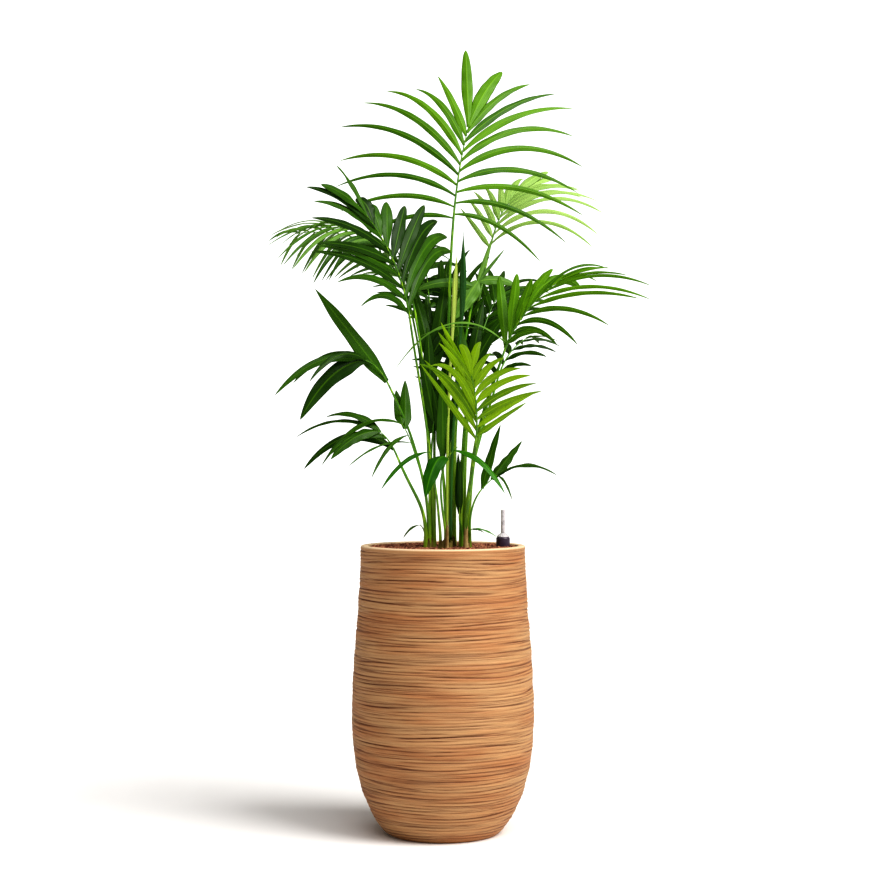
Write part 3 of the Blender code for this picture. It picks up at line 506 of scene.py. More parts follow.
SPEARS = (
    Spear("spear_pale", "stem_centre", 240.0, (0.030, 0.020, 1.330), (0.034, 0.020, 1.408),
          0.0034, 0.0070),
    Spear("spear_dark", "stem_centre", 0.0, (0.049, 0.016, 1.350), (0.050, 0.018, 1.463),
          0.0034, 0.0085),
)


# Curves and surfaces

def unit(vectors: np.ndarray) -> np.ndarray:
    """The same vectors at length 1, their x, y and z being on the last axis."""
    length = np.linalg.norm(vectors, axis=-1, keepdims=True)
    return vectors / np.maximum(length, 1e-9)


def square(vectors: np.ndarray, along: np.ndarray) -> np.ndarray:
    """The directions of vectors v made square to unit directions a: v - (v . a) a at length 1."""
    return unit(vectors - np.sum(vectors * along, axis=-1, keepdims=True) * along)


def around(count: int) -> np.ndarray:
    """Angles at even steps round a circle."""
    return np.linspace(0, TURN, count, endpoint=False)


def run_along(path: np.ndarray) -> np.ndarray:
    """The distance along a path at each of its points, as a running sum of its steps."""
    return np.concatenate([[0.0], np.cumsum(np.linalg.norm(np.diff(path, axis=0), axis=1))])


def graded(values: tuple, shares: np.ndarray) -> np.ndarray:
    """Values at shares of a rib, by straight lines between values at even steps along it."""
    return np.interp(shares, np.linspace(0.0, 1.0, len(values)), values)


def smooth(value: np.ndarray, low: float, high: float) -> np.ndarray:
    """An even step from 0 at low to 1 at high: 3t^2 - 2t^3 for the share t in between."""
    share = np.clip((value - low) / (high - low), 0.0, 1.0)
    return share * share * (3 - 2 * share)


def polar(radius: np.ndarray, angle: np.ndarray, height: np.ndarray) -> np.ndarray:
    """Points at a radius r, angle a and height h: (r cos a, r sin a, h)."""
    return np.stack([radius * np.cos(angle), radius * np.sin(angle), height], axis=-1)


def bezier(controls: list, shares: np.ndarray) -> tuple[np.ndarray, np.ndarray]:
    """A Bezier curve: at the share t, neighbours p and q become (1 - t) p + t q until one is left.

    Args:
        controls: three or four points.
        shares: where on the curve, from 0 to 1.

    Returns:
        The points and the unit tangents there.
    """
    share = np.asarray(shares, float)[:, None]
    points = np.asarray(controls, float)[:, None]
    while len(points) > 2:
        points = (1 - share) * points[:-1] + share * points[1:]
    return (1 - share) * points[0] + share * points[1], unit(points[1] - points[0])


@dataclass(frozen=True)
class Ripple:
    """Smooth noise on a turned surface that closes round the circle.

    It is the sum of sin(k a + m h + p) over seeded whole numbers k, wave numbers m and phases p,
    for the angle a and the height h, scaled to a spread of about 1.
    """

    seed: int
    count: int
    turns: int              # most waves round the circle
    pitch: float            # shortest wave up and down
    slowest: float = 0.3    # least wave number up and down, as a share of the greatest
    spread: float = 1.4

    def at(self, angle: np.ndarray, height: np.ndarray) -> np.ndarray:
        """The noise at given places.

        Args:
            angle: radians round the axis.
            height: metres, of the same shape.

        Returns:
            The noise, of the same shape, mostly from -1 to 1.
        """
        random = np.random.default_rng(self.seed)
        turns = random.integers(0, self.turns + 1, self.count)
        upward = random.uniform(self.slowest, 1.0, self.count) * random.choice([-1, 1], self.count)
        phase = random.uniform(0, TURN, self.count)
        total = np.zeros(np.broadcast(angle, height).shape)
        for k, m, p in zip(turns, upward * TURN / self.pitch, phase):
            total += np.sin(k * angle + m * height + p)
        return total * math.sqrt(2 / self.count) / self.spread


@dataclass
class Surface:
    """A closed surface as arrays: corners, four-sided and three-sided faces, and named values."""

    points: np.ndarray
    quads: np.ndarray
    triangles: np.ndarray = field(default_factory=lambda: np.zeros((0, 3), int))
    values: dict = field(default_factory=dict)
    atlas: np.ndarray | None = None

    def mesh(self, name: str) -> bpy.types.Mesh:
        """The surface as a smooth-shaded mesh.

        Args:
            name: the mesh's name.

        Returns:
            The mesh, with each named value as a point attribute and the atlas as its UV map.
        """
        mesh = bpy.data.meshes.new(name)
        corners = np.concatenate([self.quads.ravel(), self.triangles.ravel()]).astype(np.int32)
        sizes = np.concatenate([np.full(len(self.quads), 4), np.full(len(self.triangles), 3)])
        starts = np.concatenate([[0], np.cumsum(sizes)[:-1]]).astype(np.int32)
        mesh.vertices.add(len(self.points))
        mesh.vertices.foreach_set("co", self.points.astype(np.float32).ravel())
        mesh.loops.add(len(corners))
        mesh.loops.foreach_set("vertex_index", corners)
        mesh.polygons.add(len(sizes))
        mesh.polygons.foreach_set("loop_start", starts)
        mesh.polygons.foreach_set("use_smooth", np.ones(len(sizes), bool))
        mesh.update(calc_edges=True)
        for key, value in self.values.items():
            layer = mesh.attributes.new(key, "FLOAT", "POINT")
            layer.data.foreach_set("value", np.asarray(value, np.float32).ravel())
        if self.atlas is not None:
            layer = mesh.uv_layers.new(name="OFBake")
            layer.uv.foreach_set("vector", self.atlas.astype(np.float32).ravel())
        return mesh


def joined(surfaces: list[Surface]) -> Surface:
    """Several surfaces as one.

    Args:
        surfaces: surfaces with the same named values and no atlas.

    Returns:
        One surface with all their corners and faces.
    """
    start = np.cumsum([0] + [len(s.points) for s in surfaces])
    return Surface(
        np.vstack([s.points for s in surfaces]),
        np.vstack([s.quads + first for s, first in zip(surfaces, start)]),
        np.vstack([s.triangles + first for s, first in zip(surfaces, start)]),
        {key: np.concatenate([np.ravel(s.values[key]) for s in surfaces])
         for key in surfaces[0].values})


def lofted(rings: np.ndarray, values: dict, foot: np.ndarray, tip: np.ndarray) -> Surface:
    """A closed surface through rings of corners, with a pole at each end.

    Args:
        rings: array (rings, corners, 3), the corners anticlockwise as seen from the tip.
        values: named arrays (rings, corners).
        foot: the pole before the first ring.
        tip: the pole after the last ring.

    Returns:
        The surface, its poles being the last two corners.
    """
    count, sides = rings.shape[:2]
    i, k = np.meshgrid(np.arange(count - 1), np.arange(sides), indexing="ij")
    follow = (k + 1) % sides
    corner = np.stack([i * sides + k, i * sides + follow, (i + 1) * sides + follow,
                       (i + 1) * sides + k], axis=-1)
    ring, after = k[0], follow[0]
    last, low, high = (count - 1) * sides, count * sides, count * sides + 1
    caps = [np.column_stack([np.full(sides, low), after, ring]),
            np.column_stack([np.full(sides, high), last + ring, last + after])]
    points = np.vstack([rings.reshape(-1, 3), foot[None], tip[None]])
    kept = {key: np.concatenate([value.ravel(), [value[0].mean()], [value[-1].mean()]])
            for key, value in values.items()}
    return Surface(points, corner.reshape(-1, 4), np.vstack(caps), kept)


def sweep(path: np.ndarray, side: tuple, radius: np.ndarray, share: np.ndarray,
          tint: float) -> Surface:
    """A closed tube round a path: each ring is path + radius (side cos a + upper sin a).

    Args:
        path: array (rings, 3).
        side: a direction across the path.
        radius: array (rings, corners), the distance from the path for each corner.
        share: each ring's value along.
        tint: the tube's value tint.

    Returns:
        The tube with its two ends closed, with the values along and tint.
    """
    along = unit(np.gradient(path, axis=0))
    across = square(np.array(side), along)
    upper = np.cross(along, across)
    turn = around(radius.shape[1])[None, :, None]
    rings = (across[:, None] * np.cos(turn) + upper[:, None] * np.sin(turn)) * radius[..., None]
    values = {"along": share[:, None] + 0 * radius, "tint": tint + 0 * radius}
    return lofted(path[:, None] + rings, values, path[0], path[-1])


def revolved(profile: np.ndarray, columns: int, relief: Callable | None = None) -> Surface:
    """A closed surface turned about Z: a row (r, h) becomes (r cos a, r sin a, h).

    Args:
        profile: array (rows, 2) of radius and height that runs upwards on its outer side, first
            and last on the axis.
        columns: corners round the axis.
        relief: function of angle, radius and height arrays that gives (set-out, named values).

    Returns:
        The surface, its first and last profile points being its poles.
    """
    rows = profile[1:-1]
    angle = around(columns)[None, :]
    radius = np.repeat(rows[:, :1], columns, axis=1)
    height = np.repeat(rows[:, 1:], columns, axis=1)
    out, values = relief(angle + 0 * radius, radius, height) if relief else (0, {})
    along = unit(np.gradient(rows, axis=0))
    radius = radius + out * along[:, 1:]
    height = height - out * along[:, :1]
    return lofted(polar(radius, angle, height), values, UP * profile[0, 1], UP * profile[-1, 1])


def rounded(corners: list, radius: float, steps: int = 5) -> np.ndarray:
    """A polyline with its inner corners rounded by quadratic curves.

    Args:
        corners: points (radius, height).
        radius: how far from a corner its curve starts, at most half the edge.
        steps: points on each curve.

    Returns:
        The rounded polyline.
    """
    corners = np.asarray(corners, float)
    made = [corners[:1]]
    for before, here, after in zip(corners, corners[1:], corners[2:]):
        first, last = (here + unit(end - here) * min(radius, np.linalg.norm(end - here) / 2)
                       for end in (before, after))
        made.append(bezier([first, here, last], np.linspace(0, 1, steps))[0])
    return np.vstack(made + [corners[-1:]])


# Materials

# What an input can be given: a number, a vector or colour, or another node's output
Value = float | tuple | bpy.types.NodeSocket


def srgb(colour: tuple) -> tuple:
    """A screen colour as a linear one.

    Args:
        colour: red, green and blue, 0 to 255.

    Returns:
        Linear red, green, blue and 1.
    """
    share = np.array(colour) / 255
    linear = np.where(share <= 0.04045, share / 12.92, ((share + 0.055) / 1.055) ** 2.4)
    return (*(float(value) for value in linear), 1.0)


def shade(colour: tuple, factor: float, lift: tuple = (0, 0, 0)) -> np.ndarray:
    """A screen colour made darker or lighter: colour times factor, plus lift."""
    return factor * np.array(colour) + lift


class Graph:
    """A node tree with short ways to add nodes and join them."""

    def __init__(self, tree: bpy.types.NodeTree) -> None:
        """Work on the given tree."""
        self.tree = tree

    def add(self, kind: str, **settings: object) -> bpy.types.Node:
        """Add a node and set its properties.

        Args:
            kind: Blender's name of the node type.
            settings: properties of the node.

        Returns:
            The node.
        """
        node = self.tree.nodes.new(kind)
        for key, value in settings.items():
            setattr(node, key, value)
        return node

    def feed(self, socket: bpy.types.NodeSocket, value: Value) -> None:
        """Link or set an input.

        Args:
            socket: the input.
            value: an output to link, or a plain value.
        """
        if isinstance(value, bpy.types.NodeSocket):
            self.tree.links.new(value, socket)
        else:
            socket.default_value = value

    def math(self, operation: str, *values: Value) -> bpy.types.NodeSocket:
        """One sum.

        Args:
            operation: Blender's name of it.
            values: its terms, sockets or numbers.

        Returns:
            The result.
        """
        node = self.add("ShaderNodeMath", operation=operation)
        for socket, value in zip(node.inputs, values):
            self.feed(socket, value)
        return node.outputs[0]

    def mix(self, share: Value, first: Value, second: Value) -> bpy.types.NodeSocket:
        """Two colours mixed.

        Args:
            share: how much of the second.
            first: a linear colour or socket.
            second: a linear colour or socket.

        Returns:
            The mixed colour.
        """
        node = self.add("ShaderNodeMix", data_type="RGBA")
        for place, value in zip((0, 6, 7), (share, first, second)):
            self.feed(node.inputs[place], value)
        return node.outputs[2]

    def band(self, value: Value, low: float, high: float, first: float = 0.0,
             last: float = 1.0) -> bpy.types.NodeSocket:
        """A smooth step.

        Args:
            value: the socket that it follows.
            low: where it starts.
            high: where it ends.
            first: the result below it.
            last: the result above it.

        Returns:
            The step's value.
        """
        node = self.add("ShaderNodeMapRange", interpolation_type="SMOOTHSTEP")
        for socket, number in zip(node.inputs, (value, low, high, first, last)):
            self.feed(socket, number)
        return node.outputs[0]

    def attribute(self, name: str) -> bpy.types.NodeSocket:
        """A named value of the surface."""
        return self.add("ShaderNodeAttribute", attribute_name=name).outputs["Fac"]

    def place(self) -> bpy.types.NodeSocket:
        """The place in the object's own space."""
        return self.add("ShaderNodeTexCoord").outputs["Object"]

    def noise(self, scale: float, stretch: tuple = (1, 1, 1), detail: float = 3.0,
              rough: float = 0.55) -> bpy.types.NodeSocket:
        """Noise in the object's own space.

        Args:
            scale: waves to the metre.
            stretch: factor for each axis.
            detail: octaves.
            rough: how strong the finer octaves are.

        Returns:
            The noise, about 0 to 1.
        """
        mapping = self.add("ShaderNodeMapping")
        self.feed(mapping.inputs["Scale"], stretch)
        self.feed(mapping.inputs["Vector"], self.place())
        node = self.add("ShaderNodeTexNoise")
        for name, value in {"Scale": scale, "Detail": detail, "Roughness": rough,
                            "Vector": mapping.outputs["Vector"]}.items():
            self.feed(node.inputs[name], value)
        return node.outputs["Fac"]


class Coat(Graph):
    """The nodes of a finish: a colour laid on in layers, then joined to the shader."""

    def __init__(self, tree: bpy.types.NodeTree) -> None:
        """Start with the tree's Principled shader."""
        super().__init__(tree)
        self.shader = tree.nodes["Principled BSDF"].inputs
        self.colour: Value = (0.0, 0.0, 0.0, 1.0)

    def base(self, share: Value, first: tuple, second: tuple) -> None:
        """Start the colour, mixed from two screen colours by the share of the second."""
        self.colour = self.mix(share, srgb(first), srgb(second))

    def layer(self, mask: Value, colour: tuple, strength: float | None = None) -> None:
        """Lay a screen colour over what is there.

        Args:
            mask: where it shows, from 0 to 1.
            colour: the screen colour.
            strength: factor for the mask.
        """
        share = mask if strength is None else self.math("MULTIPLY", mask, strength)
        self.colour = self.mix(share, self.colour, srgb(colour))

    def swing(self, noise: Value, spread: float) -> bpy.types.NodeSocket:
        """A noise as a change up or down: (noise - 0.5) times the spread."""
        return self.math("MULTIPLY", self.math("SUBTRACT", noise, 0.5), spread)

    def close(self, roughness: Value, height: Value, depth: float, strength: float) -> None:
        """Join the colour, a roughness and a bump to the shader.

        Args:
            roughness: a socket or number.
            height: what the bump follows, 0 to 1.
            depth: metres from 0 to 1.
            strength: share of the bump.
        """
        bump = self.add("ShaderNodeBump")
        for name, value in {"Strength": strength, "Distance": depth, "Height": height}.items():
            self.feed(bump.inputs[name], value)
        self.feed(self.shader["Base Color"], self.colour)
        self.feed(self.shader["Roughness"], roughness)
        self.feed(self.shader["Normal"], bump.outputs["Normal"])


def vein_group() -> bpy.types.NodeTree:
    """The marks that every leaflet has, made once.

    Fine lines run from root to tip: sin(c p) of the share c across the leaflet. The midrib is the
    band round c = 0 and the margin is the band near 1.

    Returns:
        A group with the outputs Veins, Midrib, Margin and Relief, each from 0 to 1.
    """
    known = bpy.data.node_groups.get("leaf_veins")
    if known:
        return known
    group = bpy.data.node_groups.new("leaf_veins", "ShaderNodeTree")
    graph = Graph(group)
    reach = graph.math("ABSOLUTE", graph.attribute("across"))
    fine, broad = (graph.math("SINE", graph.math("MULTIPLY", reach, waves))
                   for waves in (50.0, 22.0))
    veins = graph.math("MULTIPLY_ADD", graph.math("ADD", fine, broad), 0.25, 0.5)
    midrib = graph.band(reach, 0.05, 0.13, 1.0, 0.0)
    marks = {"Veins": veins, "Midrib": midrib, "Margin": graph.band(reach, 0.88, 1.0),
             "Relief": graph.math("ADD", veins, midrib)}
    for name in marks:
        group.interface.new_socket(name, in_out="OUTPUT", socket_type="NodeSocketFloat")
    out = graph.add("NodeGroupOutput")
    for name, value in marks.items():
        graph.feed(out.inputs[name], value)
    return group


@dataclass(frozen=True)
class Finish:
    """A procedural surface, with the record's slot that it belongs to."""

    slot: Slot
    tag: str = field(default="", kw_only=True)

    def material(self) -> bpy.types.Material:
        """The finish's material, made when it is first asked for.

        Returns:
            The material.
        """
        name = f"dressed_{self.slot.value}{self.tag}"
        material = bpy.data.materials.get(name)
        if material is None:
            material = bpy.data.materials.new(name)
            material.use_nodes = True
            self.paint(Coat(material.node_tree))
        return material

    def paint(self, coat: Coat) -> None:
        """Join the nodes of this finish in the given coat."""
        raise NotImplementedError


@dataclass(frozen=True)
class LeafFinish(Finish):
    """Leaf green: dealt out by leaflet between two greens, veined, paler below, dry at the tip."""

    deep: tuple
    bright: tuple
    under: tuple
    roughness: float = 0.40
    dry: tuple = (120, 88, 36)
    mottling: float = 14.0      # patches to the metre
    specular: float = 0.18

    def paint(self, coat: Coat) -> None:
        """Join the nodes: tint by leaflet, mottling, veins, midrib, underside, tip and margin.

        Args:
            coat: the material's nodes.
        """
        marks = coat.add("ShaderNodeGroup", node_tree=vein_group()).outputs
        mottle = coat.noise(self.mottling)
        under = coat.attribute("under")
        tint = coat.math("ADD", coat.attribute("tint"), coat.swing(mottle, 0.9))
        coat.base(coat.band(tint, -0.35, 1.35), self.deep, self.bright)
        coat.layer(marks["Veins"], shade(self.deep, 0.55), 0.38)
        coat.layer(marks["Midrib"], shade(self.bright, 0.9, (34, 40, 8)), 0.45)
        coat.layer(under, self.under, 0.85)
        coat.layer(coat.band(coat.attribute("along"), 0.965, 1.0), self.dry, 0.7)
        coat.layer(marks["Margin"], shade(self.bright, 0.9, (14, 12, 0)), 0.20)
        coat.feed(coat.shader["Specular IOR Level"], self.specular)
        rough = coat.math("MULTIPLY_ADD", mottle, 0.22, self.roughness - 0.08)
        rough = coat.math("ADD", rough, coat.math("MULTIPLY", under, 0.16))
        coat.close(rough, marks["Relief"], 0.0003, 0.30)


@dataclass(frozen=True)
class StalkFinish(Finish):
    """Petiole green: yellower and scarred at the foot, streaked along its length."""

    foot: tuple
    low: tuple
    high: tuple
    scar: tuple = (92, 70, 30)
    streaking: float = 160.0    # streaks, patches and scars to the metre
    patching: float = 22.0
    scarring: float = 300.0

    def paint(self, coat: Coat) -> None:
        """Join the nodes: a grade from foot to tip, long streaks and small scars.

        Args:
            coat: the material's nodes.
        """
        along = coat.attribute("along")
        streak = coat.noise(self.streaking, (1, 1, 0.05))
        patch = coat.noise(self.patching, (1, 1, 0.35))
        scar = coat.noise(self.scarring, (1, 1, 0.4), 2.0)
        grade = coat.math("ADD", along, coat.swing(patch, 0.9))
        coat.base(coat.band(grade, 0.0, 0.75), self.low, self.high)
        coat.layer(coat.attribute("tint"), shade(self.high, 0.55), 0.5)
        coat.layer(coat.band(streak, 0.50, 0.75, 0.0, 0.5), shade(self.low, 1.25, (12, 8, 0)))
        coat.layer(coat.band(along, 0.0, 0.055, 0.85, 0.0), self.foot)
        coat.layer(coat.band(scar, 0.70, 0.80, 0.0, 0.45), self.scar)
        coat.close(coat.band(streak, 0.2, 0.8, 0.34, 0.52), streak, 0.0004, 0.6)


@dataclass(frozen=True)
class SheathFinish(Finish):
    """Dry leaf base: fibrous, in patches of brown and straw, with painted shade in its hollows and
    on its inner side.
    """

    dark: tuple
    light: tuple
    fibres: float = 520.0       # fibres and patches to the metre
    patches: float = 70.0

    def paint(self, coat: Coat) -> None:
        """Join the nodes: fibres along the height over patches of brown and straw.

        Args:
            coat: the material's nodes.
        """
        fibre = coat.noise(self.fibres, (1, 1, 0.04), 4.0, 0.7)
        patch = coat.noise(self.patches, (1, 1, 0.5))
        share = coat.math("ADD", coat.math("MULTIPLY", fibre, 0.6),
                          coat.math("MULTIPLY", patch, 0.6))
        coat.base(coat.band(share, 0.42, 0.80), self.dark, self.light)
        # painted shade: darker in the hollows between fibres and on each layer's inner side
        coat.layer(coat.attribute("painted_hollow_shade"), shade(self.dark, 0.45), 0.6)
        coat.close(coat.band(fibre, 0.3, 0.7, 0.90, 0.72), fibre, 0.0008, 0.8)


@dataclass(frozen=True)
class ClayFinish(Finish):
    """Combed clay: tan with reddish bands, with painted shade in its grooves and painted light on
    its rim.
    """

    tan: tuple
    red: tuple
    # dark red-brown for real streaks, scratches and specks, and also for the painted shade in the
    # grooves
    groove: tuple
    # pale colour: painted light on the top of the rim, which faces the lamps
    rim: tuple
    bands: float = 5.0          # bands, streaks, scratches and grains to the metre
    streaks: float = 12.0
    scratches: float = 10.0
    grains: float = 900.0

    def paint(self, coat: Coat) -> None:
        """Join the nodes: bands, drawn-out streaks, painted shade in the grooves and painted light
        on the rim.

        Args:
            coat: the material's nodes.
        """
        band = coat.noise(self.bands, (0.8, 0.8, 6.0), 4.0)
        streak = coat.noise(self.streaks, (0.40, 0.40, 22.0), 5.0, 0.75)
        scratch = coat.noise(self.scratches, (0.32, 0.32, 34.0), 2.0)
        grain = coat.noise(self.grains, detail=2.0)
        coat.base(coat.band(band, 0.35, 0.68), self.tan, self.red)
        coat.layer(coat.band(streak, 0.56, 0.72, 0.0, 0.34), self.groove)
        # lighter streaks: partly paler clay, partly a painted highlight standing in for light on
        # the ridges
        coat.layer(coat.band(streak, 0.32, 0.48, 0.45, 0.0), shade(self.tan, 1.13))
        coat.layer(coat.band(scratch, 0.58, 0.68, 0.0, 0.50), self.groove)
        # painted shade: the clay is darkened where the combing sinks the wall
        coat.layer(coat.attribute("groove"), self.groove, 0.88)
        # painted light: the rim's top, mottled by grain, is made paler
        rim = coat.math("MULTIPLY", coat.attribute("rim"), coat.band(grain, 0.2, 0.6, 0.6, 0.95))
        coat.layer(rim, self.rim)
        coat.layer(coat.band(grain, 0.55, 0.75, 0.0, 0.18), self.groove)
        height = coat.math("ADD", coat.math("MULTIPLY", streak, 0.8),
                           coat.math("MULTIPLY", grain, 0.12))
        height = coat.math("SUBTRACT", height, coat.band(scratch, 0.55, 0.68, 0.0, 0.5))
        coat.close(coat.band(grain, 0.3, 0.7, 0.58, 0.78), height, 0.0022, 0.75)


@dataclass(frozen=True)
class GranuleFinish(Finish):
    """Fired clay granules: dealt out between dark red-brown and pinkish tan, with open pores."""

    dark: tuple
    light: tuple
    cells: float = 150.0        # cells and pores to the metre
    pores: float = 900.0

    def paint(self, coat: Coat) -> None:
        """Join the nodes: cells where no granule has its own tint, pores and painted shade at the
        cells' edges.

        Args:
            coat: the material's nodes.
        """
        cells = coat.add("ShaderNodeTexVoronoi")
        coat.feed(cells.inputs["Scale"], self.cells)
        coat.feed(cells.inputs["Vector"], coat.place())
        own = coat.add("ShaderNodeSeparateColor")
        coat.feed(own.inputs[0], cells.outputs["Color"])
        tint = coat.math("ADD", coat.attribute("tint"),
                         coat.math("MULTIPLY", own.outputs[0], 0.35))
        pores = coat.noise(self.pores)
        coat.base(coat.band(tint, 0.15, 1.2), self.dark, self.light)
        coat.layer(coat.band(pores, 0.55, 0.72, 0.0, 0.6), shade(self.dark, 0.5))
        # painted shade between granules: darker towards the edges of the cells
        coat.layer(coat.band(cells.outputs["Distance"], 0.35, 0.75, 0.0, 0.5),
                   shade(self.dark, 0.4))
        coat.close(coat.band(pores, 0.3, 0.7, 0.86, 0.98), pores, 0.0006, 0.7)


@dataclass(frozen=True)
class PlasticFinish(Finish):
    """Moulded plastic: an even colour with faint flow marks and scuffs."""

    colour: tuple
    roughness: float
    clear: float = 0.0
    bending: float = 1.30       # refractive index where it is clear
    clouds: float = 90.0        # clouds and scuffs to the metre
    scuffs: float = 420.0

    def paint(self, coat: Coat) -> None:
        """Join the nodes: faint clouds in the colour and scuffs in the gloss.

        Args:
            coat: the material's nodes.
        """
        cloud = coat.noise(self.clouds)
        scuff = coat.noise(self.scuffs, (1, 1, 0.2), 4.0)
        coat.base(coat.band(cloud, 0.35, 0.7), self.colour, shade(self.colour, 0.86))
        rough = coat.band(scuff, 0.45, 0.75, self.roughness, self.roughness + 0.18)
        coat.close(rough, scuff, 0.0001, 0.4)
        if self.clear:
            coat.feed(coat.shader["Transmission Weight"], self.clear)
            coat.feed(coat.shader["IOR"], self.bending)


LEAVES = {finish.slot: finish for finish in (
    LeafFinish(Slot.MID, (48, 98, 2), (108, 160, 20), (100, 142, 40)),
    LeafFinish(Slot.PALE, (130, 172, 76), (180, 214, 122), (160, 194, 106), 0.46),
    LeafFinish(Slot.DARK, (18, 50, 0), (62, 108, 8), (72, 102, 28), 0.38),
    LeafFinish(Slot.FINE, (44, 90, 12), (112, 156, 62), (104, 140, 66)),
    LeafFinish(Slot.LIME, (82, 128, 0), (156, 198, 10), (132, 170, 30)),
    LeafFinish(Slot.BRIGHT, (26, 86, 4), (66, 134, 10), (80, 120, 36), 0.36),
)}
STALKS = StalkFinish(Slot.PETIOLE, (150, 150, 60), (152, 192, 34), (84, 146, 12))
SPEAR_PALE = StalkFinish(Slot.SPEAR, (150, 150, 70), (150, 178, 60), (176, 194, 96))
SPEAR_DARK = StalkFinish(Slot.DARK, (60, 100, 20), (40, 96, 14), (24, 74, 10), tag="_spear")
SHEATHS = SheathFinish(Slot.SHEATH, (96, 78, 24), (184, 166, 86))
HUSK = SheathFinish(Slot.SHEATH, (150, 112, 52), (228, 202, 142), tag="_husk")
CLAY = ClayFinish(Slot.PLANTER, (184, 144, 101), (174, 122, 78), (88, 36, 8), (228, 204, 170))
GRANULES = GranuleFinish(Slot.SUBSTRATE, (96, 34, 22), (204, 142, 108))
CAP = PlasticFinish(Slot.GAUGE_DARK, (76, 62, 82), 0.30)
GLASS = PlasticFinish(Slot.GAUGE_CLEAR, (238, 234, 238), 0.10, 0.30)
FLOAT = PlasticFinish(Slot.GAUGE_DARK, (120, 50, 40), 0.35, tag="_float")


# Pieces

def linked(name: str, data: bpy.types.ID) -> bpy.types.Object:
    """Put data into the scene as an object at the origin.

    Args:
        name: the object's name.
        data: its mesh, light or camera.

    Returns:
        The new object.
    """
    thing = bpy.data.objects.new(name, data)
    bpy.context.scene.collection.objects.link(thing)
    return thing


def publish(name: str, surface: Surface, finish: Finish, *nodes: str) -> None:
    """Put a surface into the scene as a piece of the object, and report it.

    Args:
        name: the piece's name.
        surface: its shape.
        finish: its finish, which names its material slot.
        nodes: the solids that it stands for, if any.
    """
    piece = linked(name, surface.mesh(name))
    piece.data.materials.append(finish.material())
    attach(piece, "root")
    if nodes:
        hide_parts(*nodes)
    LOG.info("%s: %d faces", name, len(piece.data.polygons))


# Plant

@dataclass
class Leaves:
    """The leaflets of one frond as arrays with a row for each."""

    root: np.ndarray
    start: np.ndarray
    face: np.ndarray
    length: np.ndarray
    width: np.ndarray
    sag: np.ndarray
    blunt: np.ndarray


